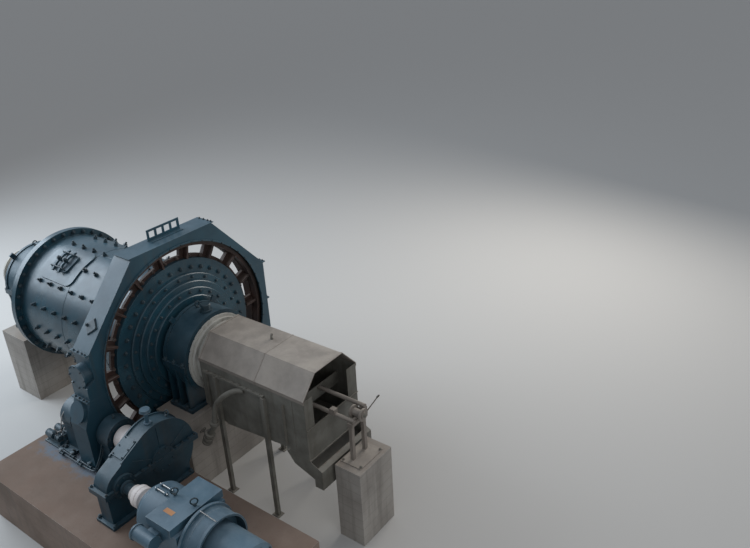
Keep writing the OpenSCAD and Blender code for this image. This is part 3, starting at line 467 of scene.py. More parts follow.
# The heads are steel castings. Rings of bolts hold them and the gear to the shell's flanges,
# and smaller bolts hold the trunnion liners and the grey outlet ring. A ring's row gives its
# place along X, its radius, its bolts, the first one's angle, their size and where they point.
HEAD_RINGS = [(-0.563, 1.345, 36, 5, 0.04, 1), (-0.513, 1.175, 24, 0, 0.03, 1),
              (-0.413, 0.93, 24, 7.5, 0.03, 1), (-4.13, 1.29, 36, 0, 0.042, -1),
              (-4.18, 1.025, 24, 0, 0.034, -1), (-3.998, 1.29, 36, 0, 0.042, 1)]
head_bolts = [copies(nut_on_stud(size), ring_places(x, radius, every(count, first)), (out, 0, 0))
              for x, radius, count, first, size, out in HEAD_RINGS]
piece("head_bolts", joined(*head_bolts), bolt_enamel, "drum")

ring_grey = layered("ring_grey", (0.5, 0.49, 0.45), (0.34, 0.33, 0.3), (0.46, 0.43, 0.38),
                    (0.16, 0.1, 0.07), dust=0.4, runs=0.6, wear=0.7, gloss=0.5,
                    run_colour=(0.14, 0.1, 0.07))
dress(ring_grey, "outlet_spout", "feed_spout")
piece("spout_bolts", copies(nut_on_stud(0.03), ring_places(-5.465, 0.56, every(16)), (-1, 0, 0)),
      bolt_enamel, "drum")

# The girth gear and its pinion are cast steel in red-brown primer. Black grease lies on the
# teeth and has been thrown over the web. A ring of bolts on each side holds the web.
GEAR_X, GEAR_ROOT, GEAR_TIP = -0.668, 1.865, 1.91


def greased(finish_name, centre, root, tip, colour, dark):
    """Primer that turns to wet black grease from the root radius out, as measured from the
    axis through centre along X, and is spattered inside it."""
    finish = layered(finish_name, colour, dark, (0.2, 0.15, 0.12), (0.22, 0.2, 0.18), dust=0.35,
                     runs=0.2, wear=0.6, casting=0.7, gloss=0.55, bump=0.4)
    tree = finish.node_tree
    shader = tree.nodes["Principled BSDF"]
    painted = shader.inputs["Base Color"].links[0].from_socket
    dry = shader.inputs["Roughness"].links[0].from_socket
    place = tree.nodes.new("ShaderNodeTexCoord").outputs["Object"]
    local = add(tree, "VectorMath", {0: place, 1: (0, *centre)}, operation="SUBTRACT").outputs[0]
    flat = add(tree, "VectorMath", {0: local, 1: (0, 1, 1)}, operation="MULTIPLY").outputs[0]
    radius = add(tree, "VectorMath", {0: flat}, operation="LENGTH").outputs["Value"]
    blots = maths(tree, "MULTIPLY", cloud(tree, place, 9, 6, 0.7), 0.12)
    wet = spread(tree, maths(tree, "ADD", radius, blots), root, tip)
    tree.links.new(tint(tree, wet, painted, (0.012, 0.01, 0.008, 1)), shader.inputs["Base Color"])
    slick = maths(tree, "SUBTRACT", dry, maths(tree, "MULTIPLY", wet, 0.3))
    tree.links.new(slick, shader.inputs["Roughness"])
    return finish


gear_primer = greased("gear_primer", MILL_AXIS, GEAR_ROOT - 0.02, GEAR_TIP, (0.055, 0.026, 0.019),
                      (0.026, 0.014, 0.011))
dress(gear_primer, "girth_gear")
PINION_AXIS = (-1.9539, 1.63035)
PINION_ROOT, PINION_TIP = 0.19, 0.25
pinion_primer = greased("pinion_primer", PINION_AXIS, PINION_ROOT, PINION_TIP, (0.16, 0.13, 0.11),
                        (0.09, 0.07, 0.06))
dress(pinion_primer, "pinion_shaft")
gear_bolts = [copies(nut_on_stud(0.036), ring_places(GEAR_X + off, radius, every(36, 5)), (out, 0, 0))
              for off, radius, out in ((0.025, 1.54, 1), (-0.077, 1.44, -1))]
piece("gear_bolts", joined(*gear_bolts), gear_primer, "drum")

# The gear guard is welded from sheet, in four parts with lips that bolt together. A ring of
# small bolts runs round each opening. Its near slope has a diamond-shaped hatch with a stud,
# and the bulge over the pinion has a round port.
# Its grey-blue dust colour is partly dust and partly painted sheen on upward faces.
guard_enamel = layered("guard_enamel", (0.024, 0.075, 0.106), (0.014, 0.047, 0.07),
                       (0.16, 0.22, 0.27), (0.15, 0.19, 0.21), dust=0.35, gloss=0.28,
                       tone_scale=1.1, bump=0.12)
dress(guard_enamel, "guard_top", "guard_near_side", "guard_far_side", "guard_sump",
      "guard_bracket", "guard_side_cover")
GUARD_BACK, GUARD_FRONT, GUARD_MID = -0.884, -0.454, -0.669
ROOF_HALF, ROOF_Z, SIDE_HALF, SIDE_Z = 0.872, 1.994, 2.009, 0.729
OPENING_R, LIP, ROOF_LIP, SPLIT_Z = 1.854, 0.034, 0.036, 2.332
BULGE_Y, PORT_Z, PORT_R = -2.179, 2.73, 0.2
HATCH_UP, HATCH_OUT = 0.44, 0.026
LIP_X = [-0.80, -0.69, -0.58, -0.50]
lip_bolts = [copies(nut_on_stud(0.02), grid(LIP_X, [y], [z]), (0, 0, 1)) for y, z in (
    (-SIDE_HALF - LIP, AXIS_Z + SIDE_Z + 0.012), (SIDE_HALF + LIP, AXIS_Z + SIDE_Z + 0.012),
    (BULGE_Y - LIP, SPLIT_Z), (SIDE_HALF + LIP, SPLIT_Z), (ROOF_HALF + ROOF_LIP, AXIS_Z + ROOF_Z))]
lip_bolts += [copies(nut_on_stud(0.013), ring_places(x, OPENING_R, every(48, 3.75)), (out, 0, 0))
              for x, out in ((GUARD_FRONT + 0.025, 1), (GUARD_BACK - 0.025, -1))]
port_turn = np.radians(every(8))
port_places = np.stack([GUARD_MID + PORT_R * np.cos(port_turn), np.full(8, BULGE_Y),
                        PORT_Z + PORT_R * np.sin(port_turn)], axis=1)
lip_bolts.append(copies(nut_on_stud(0.016), port_places, (0, -1, 0)))
slope_up = np.array([0, SIDE_HALF - ROOF_HALF, ROOF_Z - SIDE_Z])
slope_up /= np.linalg.norm(slope_up)
slope_out = np.array([0, -slope_up[2], slope_up[1]])
hatch_middle = (np.array([GUARD_MID, -SIDE_HALF, AXIS_Z + SIDE_Z]) + HATCH_UP * slope_up
                + HATCH_OUT * slope_out)
lip_bolts.append(copies(nut_on_stud(0.03), [hatch_middle - (0.09, 0, 0)], slope_out))
piece("guard_bolts", joined(*lip_bolts), bolt_enamel, "frame")
hatch = joined(solid_of_turn([(0.15, -0.026), (0.15, -0.012)], 4),
               solid_of_turn([(0.136, -0.013), (0.136, 0)], 4))
hatch_plate = piece("guard_hatch", copies(hatch, [hatch_middle], slope_out), bolt_enamel, "frame",
                    bevel=0.003)
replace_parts(hatch_plate, "guard_side_cover")

# The mill's two bearings are iron castings, split at the axis and bolted down on their piers.
# Each cap has a ring of cover bolts on its end, a lifting eye and an oil inlet on top.
# Its grey-blue dust colour is partly dust and partly painted sheen on upward faces.
casting_enamel = layered("casting_enamel", (0.014, 0.05, 0.074), (0.006, 0.024, 0.037),
                         (0.12, 0.19, 0.235), (0.11, 0.1, 0.09), dust=0.35, runs=0.4, wear=0.6,
                         casting=0.8, gloss=0.34, bump=0.4)
dress(casting_enamel, "feed_bearing_base", "feed_bearing_cap", "discharge_bearing_base",
      "discharge_bearing_cap", "pinion_bearing_feed", "pinion_bearing_out")


def ring_eye(radius, bar, sides=20):
    """A ring standing on its edge above a short collar: the torus (R + r cos b) cos a, r sin b,
    (R + r cos b) sin a, lifted clear of the collar, which is a solid of turn."""
    turn = np.linspace(0, 2 * pi, sides, endpoint=False)
    tube = np.linspace(0, 2 * pi, 8, endpoint=False)
    a, b = np.meshgrid(turn, tube, indexing="ij")
    reach = radius + bar * np.cos(b)
    points = np.stack([reach * np.cos(a), bar * np.sin(b), radius + 2 * bar + reach * np.sin(a)],
                      axis=2).reshape(-1, 3)
    collar = solid_of_turn([(bar * 2.2, -0.004), (bar * 2.2, bar), (bar * 1.3, bar * 2.4)], 12)
    return joined((points, tube_faces(sides, 8, True)), collar)


BEARING_HALF, CAP_TOP, BEARING_FOOT = 0.29, AXIS_Z + 0.77, 1.57
oil_cap = solid_of_turn([(0.11, -0.03), (0.11, 0.03), (0.075, 0.035), (0.075, 0.1), (0.09, 0.105),
                         (0.09, 0.13), (0.08, 0.14)], 24)
bearing_trim = []
for x in (-5.12, 0.0):
    bearing_trim += [copies(nut_on_stud(0.026), ring_places(x + out * BEARING_HALF, 0.69, every(20, 9)),
                            (out, 0, 0)) for out in (-1, 1)]
    split_bolts = grid([x - 0.22, x, x + 0.22], [-0.76, 0.76], [AXIS_Z + 0.06])
    foot_bolts = grid([x - 0.15, x + 0.15], [-0.765, 0.765], [BEARING_FOOT])
    bearing_trim += [copies(nut_on_stud(0.05), split_bolts, (0, 0, 1)),
                     copies(nut_on_stud(0.045), foot_bolts, (0, 0, 1)),
                     copies(oil_cap, [(x + 0.12, 0, CAP_TOP)], (0, 0, 1)),
                     copies(ring_eye(0.045, 0.013), [(x - 0.1, 0.0, CAP_TOP)], (0, 0, 1))]
piece("bearing_trim", joined(*bearing_trim), bolt_enamel, "frame", smooth=0.7)
rubber = layered("seal_rubber", (0.02, 0.02, 0.02), (0.01, 0.01, 0.01), (0.12, 0.11, 0.1),
                 (0.05, 0.05, 0.05), dust=0.3, wear=0.2, gloss=0.6)
seal = solid_of_turn([(0.57, 0), (0.635, 0.0), (0.635, 0.028), (0.6, 0.034), (0.57, 0.034)], 96, loop=True)
seals = [copies(seal, [(x, 0, AXIS_Z)], (out, 0, 0)) for x, out in ((-5.41, -1), (-4.83, 1), (-0.29, -1))]
piece("bearing_seals", joined(*seals), rubber, "frame", smooth=0.7)

# The pinion runs in two cast housings, each with a round end cover and four foot bolts. Two
# cream hubs join its shaft to the gearbox, with a ring of pins between their flanges.
PINION_Y, PINION_Z = PINION_AXIS
HOUSING_HALF, HOUSING_FOOT, SHAFT_END_X = 0.15, 1.06, -1.49
pinion_trim = []
for x, faces_out in ((-1.3, [1]), (-0.26, [-1, 1])):
    feet = grid([x - 0.11, x + 0.11], [PINION_Y - 0.36, PINION_Y + 0.36], [HOUSING_FOOT])
    pinion_trim += [copies(nut_on_stud(0.036), feet, (0, 0, 1)),
                    copies(ring_eye(0.032, 0.009), [(x, PINION_Y, PINION_Z + 0.3)], (0, 0, 1), pi / 2)]
    for out in faces_out:
        end_bolts = ring_places(x + out * HOUSING_HALF, 0.255, every(10, 18), PINION_AXIS)
        pinion_trim.append(copies(nut_on_stud(0.02), end_bolts, (out, 0, 0)))
end_cap_bolts = ring_places(SHAFT_END_X, 0.195, every(8, 22.5), PINION_AXIS)
pinion_trim.append(copies(nut_on_stud(0.02), end_cap_bolts, (-1, 0, 0)))
piece("pinion_trim", joined(*pinion_trim), bolt_enamel, "frame", smooth=0.7)
coupling_cream = layered("coupling_cream", (0.82, 0.76, 0.74), (0.64, 0.58, 0.55), (0.66, 0.61, 0.58),
                         (0.2, 0.13, 0.09), dust=0.3, runs=0.25, wear=0.6, casting=0.2, gloss=0.42,
                         run_colour=(0.2, 0.15, 0.1))
dress(coupling_cream, "slow_coupling", "fast_coupling")
HUB_FACE, PIN_FACE = 0.278, 0.079
hub_bolts = copies(nut_on_stud(0.018), ring_places(HUB_FACE, 0.195, every(12), PINION_AXIS), (1, 0, 0))
pin_ends = copies(solid_of_turn([(0.012, -0.006), (0.012, 0.006)], 8),
                  ring_places(PIN_FACE, 0.165, every(12), PINION_AXIS), (1, 0, 0))
piece("slow_coupling_pins", joined(hub_bolts, pin_ends), bolt_enamel, "pinion")

# The gearbox is cast in halves, bolted along the split flange and down to its bed. Thin ribs
# run up its sides, and bolted covers close its shaft ends and the opening in its roof.
dress(casting_enamel, "gearbox_lower", "gearbox_upper", "gearbox_cover")
GEARBOX_X, GEARBOX_END = 0.585, 0.905
LARGE_R, SMALL_R, SHAFTS_APART, COVER_OUT = 0.64, 0.3, 0.75, 0.675
INPUT_Y = PINION_Y - SHAFTS_APART
OUTER_Y, INNER_Y = INPUT_Y - 0.36, PINION_Y + 0.71
split_places = grid([GEARBOX_X - 0.027, GEARBOX_END + 0.027],
                    np.linspace(OUTER_Y + 0.04, INNER_Y - 0.04, 14), [PINION_Z + 0.045])
split_y = split_places[:, 1]
split_places = split_places[(np.abs(split_y - PINION_Y) > 0.25) & (np.abs(split_y - INPUT_Y) > 0.23)]
foot_places = grid([GEARBOX_X - 0.035, GEARBOX_END + 0.035], [OUTER_Y + 0.05, -2.5, PINION_Y, -1.5], [1.05])
boss_places = np.concatenate([ring_places(GEARBOX_END + 0.04, 0.185, every(8, 22.5), PINION_AXIS),
                              ring_places(GEARBOX_END + 0.05, 0.165, every(8), (INPUT_Y, PINION_Z))])
back_places = ring_places(GEARBOX_X - 0.02, 0.187, every(8, 22.5), PINION_AXIS)
# The roof's straight stretch touches a round end over each shaft, and the cover lies on it.
roof_turn = np.arccos((LARGE_R - SMALL_R) / SHAFTS_APART)
roof_up = np.array([0, np.sin(roof_turn), np.cos(roof_turn)])
roof_out = np.array([0, -np.cos(roof_turn), np.sin(roof_turn)])
cover_x, cover_along = grid([GEARBOX_X + 0.055, GEARBOX_END - 0.055], [-0.375, -0.23, -0.085]).T
cover_places = (np.outer(cover_x, (1, 0, 0)) + np.outer(cover_along, roof_up) + COVER_OUT * roof_out
                + (0, PINION_Y, PINION_Z))
gearbox_bolts = [copies(nut_on_stud(0.024), split_places, (0, 0, 1)),
                 copies(nut_on_stud(0.036), foot_places, (0, 0, 1)),
                 copies(nut_on_stud(0.016), boss_places, (1, 0, 0)),
                 copies(nut_on_stud(0.016), back_places, (-1, 0, 0)),
                 copies(nut_on_stud(0.014), cover_places, roof_out),
                 copies(ring_eye(0.04, 0.011), [(0.745, PINION_Y + 0.32, PINION_Z + 0.555)], (0, 0.5, 0.866))]
piece("gearbox_bolts", joined(*gearbox_bolts), bolt_enamel, "frame", smooth=0.7)


def slabs(lows, highs):
    """Boxes between the paired low and high corners: eight corner points, six quads each."""
    lows, highs = np.array(lows, float), np.array(highs, float)
    pick = np.array([[0, 0, 0], [1, 0, 0], [1, 1, 0], [0, 1, 0], [0, 0, 1], [1, 0, 1], [1, 1, 1], [0, 1, 1]])
    points = (lows[:, None] + (highs - lows)[:, None] * pick).reshape(-1, 3)
    quads = np.array([[3, 2, 1, 0], [4, 5, 6, 7], [0, 1, 5, 4], [2, 3, 7, 6], [1, 2, 6, 5], [3, 0, 4, 7]])
    offset = np.arange(len(lows))[:, None, None] * 8
    return points, [(quads[None] + offset).reshape(-1, 4)]


def rib_fan(x, thick, centre, inner, outer, angles, deep):
    """Flat ribs on the plane at x, running out from inner to outer radius at each angle."""
    points, faces = slabs([[0.0, inner, -thick / 2]] * len(angles), [[deep, outer, thick / 2]] * len(angles))
    turn = np.repeat(np.radians(angles), 8)
    y, z = points[:, 1], points[:, 2]
    return np.stack([x + points[:, 0], centre[0] + y * np.cos(turn) - z * np.sin(turn),
                     centre[1] + y * np.sin(turn) + z * np.cos(turn)], axis=1), faces


RIB = 0.012
gearbox_ribs = [rib_fan(x, RIB, PINION_AXIS, 0.215, 0.6, [30, 90, 150], RIB)
                for x in (GEARBOX_END, GEARBOX_X - RIB)]
piece("gearbox_ribs", joined(*gearbox_ribs), casting_enamel, "frame", bevel=0.003)

# The motor is a slip-ring machine in lighter steel-blue. It has a round drive end, a square
# middle with a flat top plate, an open cowl at the rear and a round cover over its slip rings.
MOTOR_Y, MOTOR_Z = INPUT_Y, PINION_Z
MOTOR_AXIS = (MOTOR_Y, MOTOR_Z)
MOTOR_TOP = MOTOR_Z + 0.44
# Its grey-blue dust colour is partly dust and partly painted sheen on upward faces.
motor_enamel = layered("motor_enamel", (0.055, 0.115, 0.16), (0.028, 0.066, 0.096), (0.2, 0.27, 0.33),
                       (0.3, 0.33, 0.35), wear=0.7, casting=0.25, gloss=0.28)
dress(motor_enamel, "motor_frame", "motor_top_box", "motor_cowl", "motor_ring_housing",
      "motor_terminal_box", "motor_base", "gearbox_breather")
cowl = solid_of_turn([(0.448, 2.745), (0.5, 2.745), (0.505, 2.75), (0.505, 2.785), (0.5, 2.79),
                      (0.464, 2.795), (0.464, 2.86), (0.468, 2.864), (0.468, 2.876), (0.464, 2.88),
                      (0.456, 3.05), (0.47, 3.054), (0.474, 3.06), (0.474, 3.095), (0.47, 3.1),
                      (0.442, 3.1), (0.447, 2.89)], 96, loop=True)
cowl_tube = piece("motor_cowl_tube", copies(cowl, [(0, *MOTOR_AXIS)], (1, 0, 0)), motor_enamel, "frame",
                  smooth=0.5)
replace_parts(cowl_tube, "motor_cowl")
DRIVE_FACE, REAR_FACE, TERMINAL_FACE, MOTOR_FOOT = 1.75, 3.78, 2.0, 1.16
TERMINAL_AXIS = (MOTOR_Y - 0.575, MOTOR_Z + 0.15)
motor_feet = grid([1.95, 2.8], [MOTOR_Y - 0.48, MOTOR_Y + 0.48], [MOTOR_FOOT])
motor_bolts = [
    copies(nut_on_stud(0.016), ring_places(DRIVE_FACE, 0.37, every(12), MOTOR_AXIS), (-1, 0, 0)),
    copies(nut_on_stud(0.016), ring_places(REAR_FACE, 0.3, every(10), MOTOR_AXIS), (1, 0, 0)),
    copies(nut_on_stud(0.036), motor_feet, (0, 0, 1)),
    copies(ring_eye(0.052, 0.012), [(2.18, MOTOR_Y + 0.03, MOTOR_TOP), (2.575, MOTOR_Y + 0.045, MOTOR_TOP)],
           (0, 0, 1), -0.55),
    copies(nut_on_stud(0.014), ring_places(TERMINAL_FACE, 0.095, every(6), TERMINAL_AXIS), (-1, 0, 0))]
piece("motor_bolts", joined(*motor_bolts), bolt_enamel, "frame", smooth=0.7)
bright_steel = layered("bright_steel", (0.55, 0.55, 0.54), (0.4, 0.39, 0.38), (0.4, 0.38, 0.35),
                       (0.7, 0.7, 0.7), dust=0.25, runs=0.1, wear=0.3, gloss=0.22, metal=1.0)
ROD_AT = np.array([(0.062, 0.452), (-0.035, 0.45)]) + MOTOR_AXIS
rods = [rod(np.linspace((1.83, *at), (2.1, *at), 4), 0.014) for at in ROD_AT]
rods.append(rod([(2.77, MOTOR_Y - 0.025, MOTOR_Z + 0.5), (3.09, MOTOR_Y - 0.025, MOTOR_Z + 0.478)], 0.008, 8))
piece("motor_rods", joined(*rods), bright_steel, "frame", smooth=0.7)
lug_at = np.array([(x, *at) for x in (1.85, 2.04) for at in ROD_AT])
piece("motor_rod_lugs", slabs(lug_at - (0, 0.025, 0.05), lug_at + (0.03, 0.025, 0.018)), motor_enamel,
      "frame", bevel=0.003)
orange = layered("tag_orange", (0.5, 0.2, 0.05), (0.36, 0.14, 0.05), (0.4, 0.26, 0.16),
                 (0.4, 0.36, 0.3), dust=0.5, wear=0.7, gloss=0.5)
tag = slabs([(2.28, MOTOR_Y - 0.275, MOTOR_TOP - 0.001)], [(2.46, MOTOR_Y - 0.195, MOTOR_TOP + 0.003)])
piece("motor_tag", tag, orange, "frame", bevel=0.001)

# The coupling to the motor is two cream flanges face to face, on hubs that the dark input
# shaft carries out from the gearbox.
flanges = solid_of_turn([(0.1, 1.19), (0.13, 1.195), (0.132, 1.25), (0.142, 1.255), (0.15, 1.29),
                         (0.172, 1.294), (0.175, 1.3), (0.175, 1.365), (0.17, 1.37), (0.17, 1.376),
                         (0.175, 1.381), (0.175, 1.44), (0.172, 1.446), (0.135, 1.45), (0.13, 1.455),
                         (0.13, 1.54)], 64)
sleeve = solid_of_turn([(0.115, 0.975), (0.12, 0.98), (0.12, 1.02), (0.09, 1.03), (0.09, 1.19)], 48)
for name, solid, finish, slot in (("fast_coupling_flanges", flanges, coupling_cream, "cream_paint"),
                                  ("fast_coupling_sleeve", sleeve, casting_enamel, "blue_paint")):
    on_axis = copies(solid, [(0, *MOTOR_AXIS)], (1, 0, 0))
    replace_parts(piece(name, on_axis, finish, "input_shaft", smooth=0.7), "fast_coupling")

# Two oil pumps stand on a plate beside the pinion. Each is a small motor, a coupling guard
# and a pump. A filter and two gauges stand between them, thin steel pipes run to the filter,
# and two painted mains with valves run along the bed to the bearings.
# Its grey-blue dust colour is partly dust and partly painted sheen on upward faces.
pump_enamel = layered("pump_enamel", (0.03, 0.075, 0.1), (0.012, 0.03, 0.042), (0.18, 0.23, 0.27),
                      (0.16, 0.14, 0.12), dust=0.5, runs=0.3, wear=0.8, casting=0.6)
dress(pump_enamel, "lube_pump_set")
PUMP_Z, PLATE_TOP = 1.155, 1.03
PUMP_BANDS = ((-1.953, 0.068, 0.016), (-1.775, 0.067, 0.016), (-1.668, 0.066, 0.014), (-1.588, 0.062, 0.014))
pump_parts = []
for y in (-2.3, -2.12):
    axis = (y, PUMP_Z)
    for x, r, h in PUMP_BANDS:
        band = solid_of_turn([(r * 0.9, 0), (r, 0.003), (r, h), (r * 0.9, h + 0.003)], 24)
        pump_parts.append(copies(band, [(x, *axis)], (1, 0, 0)))
    feet = grid([-1.93, -1.59], [y - 0.06, y + 0.06], [PLATE_TOP])
    pump_parts += [rib_fan(-1.93, 0.005, axis, 0.058, 0.071, every(20), 0.15),
                   copies(nut_on_stud(0.01), ring_places(-1.571, 0.042, every(6), axis), (1, 0, 0)),
                   copies(nut_on_stud(0.014), feet, (0, 0, 1))]
filter_jar = solid_of_turn([(0.04, 0), (0.044, 0.004), (0.044, 0.16), (0.052, 0.164), (0.052, 0.19),
                            (0.024, 0.2), (0.024, 0.225)], 24)
gauge = solid_of_turn([(0.03, 0), (0.034, 0.004), (0.034, 0.02), (0.029, 0.024)], 20)
valve = solid_of_turn([(0.034, -0.05), (0.034, -0.036), (0.022, -0.03), (0.027, 0), (0.022, 0.03),
                       (0.034, 0.036), (0.034, 0.05)], 16)
stem = solid_of_turn([(0.012, 0.015), (0.012, 0.08), (0.034, 0.084), (0.034, 0.094), (0.012, 0.098)], 16)
valve_places = [(-1.33, -2.45, 1.06), (-1.08, -2.4, 1.06), (-0.8, -2.45, 1.06), (-0.58, -2.4, 1.065)]
pump_parts += [copies(filter_jar, [(-1.58, -2.21, PLATE_TOP)], (0, 0, 1)),
               copies(gauge, [(-1.68, -2.32, 1.28), (-1.66, -2.14, 1.3)], (0.6, -0.5, 0.5)),
               copies(valve, valve_places, (1, 0, 0)), copies(stem, valve_places, (0, 0, 1))]
piece("pump_parts", joined(*pump_parts), pump_enamel, "frame", smooth=0.7)
OIL_LINES = [
    [(-1.63, -2.3, 1.2), (-1.63, -2.3, 1.27), (-1.61, -2.27, 1.29), (-1.585, -2.22, 1.28),
     (-1.58, -2.21, 1.25)],
    [(-1.63, -2.12, 1.2), (-1.63, -2.12, 1.28), (-1.62, -2.15, 1.3), (-1.59, -2.2, 1.28),
     (-1.58, -2.21, 1.25)],
    [(-1.55, -2.22, 1.18), (-1.5, -2.25, 1.2), (-1.46, -2.3, 1.3), (-1.42, -2.3, 1.5),
     (-1.38, -2.26, 1.7), (-1.36, -2.19, 1.8)],
    [(-1.68, -2.31, 1.2), (-1.68, -2.315, 1.28)],
    [(-1.66, -2.13, 1.2), (-1.66, -2.135, 1.3)]]
oil_lines = [rod(curve(line, 20), 0.009, 8) for line in OIL_LINES]
piece("oil_lines", joined(*oil_lines), bright_steel, "frame", smooth=0.7)
OIL_MAIN = np.array([(-1.54, -2.2, 1.08), (-1.5, -2.3, 1.07), (-1.46, -2.43, 1.06), (-1.3, -2.45, 1.06),
                     (-0.9, -2.45, 1.06), (-0.45, -2.44, 1.07), (-0.36, -2.4, 1.18),
                     (-0.33, -2.3, 1.38), (-0.32, -2.24, 1.55)])
oil_mains = [rod(curve(OIL_MAIN + (0, beside, 0), 40), 0.012, 8) for beside in (0, 0.05)]
piece("oil_main", joined(*oil_mains), pump_enamel, "frame", smooth=0.7)

# The discharge hood and box are welded from thin sheet in grey-beige primer. The roof lifts
# off in two lengths by a lug, the box hangs on its legs, and slurry has stained the walls.
# The box, its chute, legs and pipe take a darker, greyer copy of the primer: painted shade
# for walls that hang in shadow below the hood.
hood_primer = layered("hood_primer", (0.235, 0.205, 0.18), (0.16, 0.14, 0.122), (0.44, 0.39, 0.335),
                      (0.12, 0.08, 0.055), dust=0.65, runs=0.4, wear=0.7, gloss=0.55, tone_scale=1.3,
                      run_colour=(0.12, 0.1, 0.08))
# A darker copy of the hood's primer, as painted shade on the box's walls; its runs are slurry stains.
shaded_box_primer = layered("shaded_box_primer", (0.17, 0.165, 0.145), (0.095, 0.09, 0.075), (0.3, 0.27, 0.23),
                     (0.12, 0.08, 0.055), runs=0.7, wear=0.7, gloss=0.6, tone_scale=2.2,
                     run_colour=(0.07, 0.06, 0.045))
dress(hood_primer, "discharge_hood", "outlet_bars", "outlet_stand", "outlet_rollers")
dress(shaded_box_primer, "discharge_box", "discharge_chute", "box_legs", "water_pipe")
HOOD_X, HOOD_END, HOOD_HALF, HOOD_SIDE_Z = 0.54, 2.888, 0.652, 0.295
HOOD_ROOF_HALF, HOOD_ROOF_Z = 0.335, 0.653
hood_section = np.array([(-HOOD_HALF, HOOD_SIDE_Z - 0.06), (-HOOD_HALF, HOOD_SIDE_Z),
                         (-HOOD_ROOF_HALF, HOOD_ROOF_Z), (HOOD_ROOF_HALF, HOOD_ROOF_Z),
                         (HOOD_HALF, HOOD_SIDE_Z), (HOOD_HALF, HOOD_SIDE_Z - 0.06)])


def hood_band(x0, x1, proud):
    """A flat band over the hood from x0 to x1: the hood's section and the same one grown by
    proud, joined into a closed tube along X."""
    centre = np.array([0, 0.2])
    grown = centre + (hood_section - centre) * (1 + proud / 0.55)
    loop = np.concatenate([grown, hood_section[::-1]])
    n = len(loop)
    points = np.concatenate([np.column_stack([np.full(n, x), loop[:, 0], AXIS_Z + loop[:, 1]])
                             for x in (x0, x1)])
    i = np.arange(n)
    j = (i + 1) % n
    side = np.stack([i, i + n, j + n, j], axis=1)
    half = np.arange(5)
    first = np.stack([half, half + 1, n - 2 - half, n - 1 - half], axis=1)
    return points, [side, first, first[:, ::-1] + n]


hood_bands = [hood_band(1.83, 1.85, 0.004), hood_band(HOOD_END - 0.03, HOOD_END + 0.001, 0.007),
              hood_band(HOOD_X - 0.001, HOOD_X + 0.035, 0.007)]
piece("hood_bands", joined(*hood_bands), hood_primer, "frame")
hood_lug = copies(ring_eye(0.036, 0.012), [(1.63, 0.05, AXIS_Z + HOOD_ROOF_Z + 0.004)], (0, 0, 1), 0.5)
ledge_bolts = grid(np.linspace(0.75, 1.95, 9), [-0.668, 0.668], [AXIS_Z + 0.092])
piece("hood_fittings", joined(hood_lug, copies(nut_on_stud(0.014), ledge_bolts, (0, 0, 1))), shaded_box_primer,
      "frame", smooth=0.7)
BOX_HALF, RIB_X, STRIP_X, STRIP = 0.644, HOOD_X + 1.91, 2.6, 0.006
box_lows, box_highs = [], []
for s in (-1, 1):
    box_lows += [(RIB_X, s * BOX_HALF - (s < 0) * 0.04, AXIS_Z - 0.78),
                 (STRIP_X, s * BOX_HALF - (s < 0) * STRIP, AXIS_Z - 0.8)]
    box_highs += [(RIB_X + 0.04, s * BOX_HALF + (s > 0) * 0.04, AXIS_Z - 0.772),
                  (STRIP_X + 0.03, s * BOX_HALF + (s > 0) * STRIP, AXIS_Z + 0.22)]
for z in (AXIS_Z - 0.27, AXIS_Z - 0.86):
    box_lows.append((HOOD_END - 0.005, -BOX_HALF, z))
    box_highs.append((HOOD_END + 0.02, BOX_HALF, z + 0.015))
piece("box_trim", slabs(box_lows, box_highs), shaded_box_primer, "frame", bevel=0.002)

# The spray water pipe leaves the box's wall, bends down and ends at a flanged valve. It is
# plain tube with a welded flange at each joint; its bends are smooth here.
PIPE_PATH = np.array([(1.55, -0.64, 0), (1.38, -0.735, -0.03), (1.2, -0.83, -0.17), (1.09, -0.88, -0.33),
                      (1.03, -0.9, -0.56), (1.01, -0.905, -0.76), (0.88, -0.93, -0.95),
                      (0.76, -0.95, -1.2)]) + (0, 0, AXIS_Z)
elbow, knee, tip = PIPE_PATH[5:]
valve_axis = (tip - knee) / np.linalg.norm(tip - knee)
valve_at = knee + valve_axis * 0.1
valve_side = np.cross((0, 1.0, 0), valve_axis)
valve_side /= np.linalg.norm(valve_side)
flange = solid_of_turn([(0.05, 0), (0.088, 0), (0.09, 0.003), (0.09, 0.021), (0.088, 0.024),
                        (0.05, 0.024)], 28)
valve_body = solid_of_turn([(0.06, -0.05), (0.072, -0.03), (0.072, 0.03), (0.06, 0.05)], 20)
bonnet = solid_of_turn([(0.035, 0.05), (0.035, 0.09), (0.015, 0.095), (0.015, 0.16)], 14)
rim_points, rim_faces = ring_eye(0.06, 0.008)
RIM_COUNT, RIM_RISE = 160, 0.076
rim = ((rim_points[:RIM_COUNT] - (0, 0, RIM_RISE))[:, [0, 2, 1]] * (1, 1, -1), rim_faces[:1])
spokes = slabs([(-0.06, -0.005, -0.004), (-0.005, -0.06, -0.004)],
               [(0.06, 0.005, 0.004), (0.005, 0.06, 0.004)])
pipe_parts = [rod(curve(PIPE_PATH, 60), 0.046, 20),
              copies(flange, [knee + valve_axis * d for d in (0.02, 0.05, 0.12, 0.15, 0.24)], valve_axis),
              copies(flange, [elbow + (0, 0, 0.02), elbow + (0, 0, 0.046)], (0, 0, 1)),
              copies(valve_body, [valve_at], valve_axis), copies(bonnet, [valve_at], valve_side),
              copies(joined(rim, spokes), [valve_at + valve_side * 0.155], valve_side)]
pipe = piece("water_pipe_tube", joined(*pipe_parts), shaded_box_primer, "frame", smooth=0.7)
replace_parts(pipe, "water_pipe")

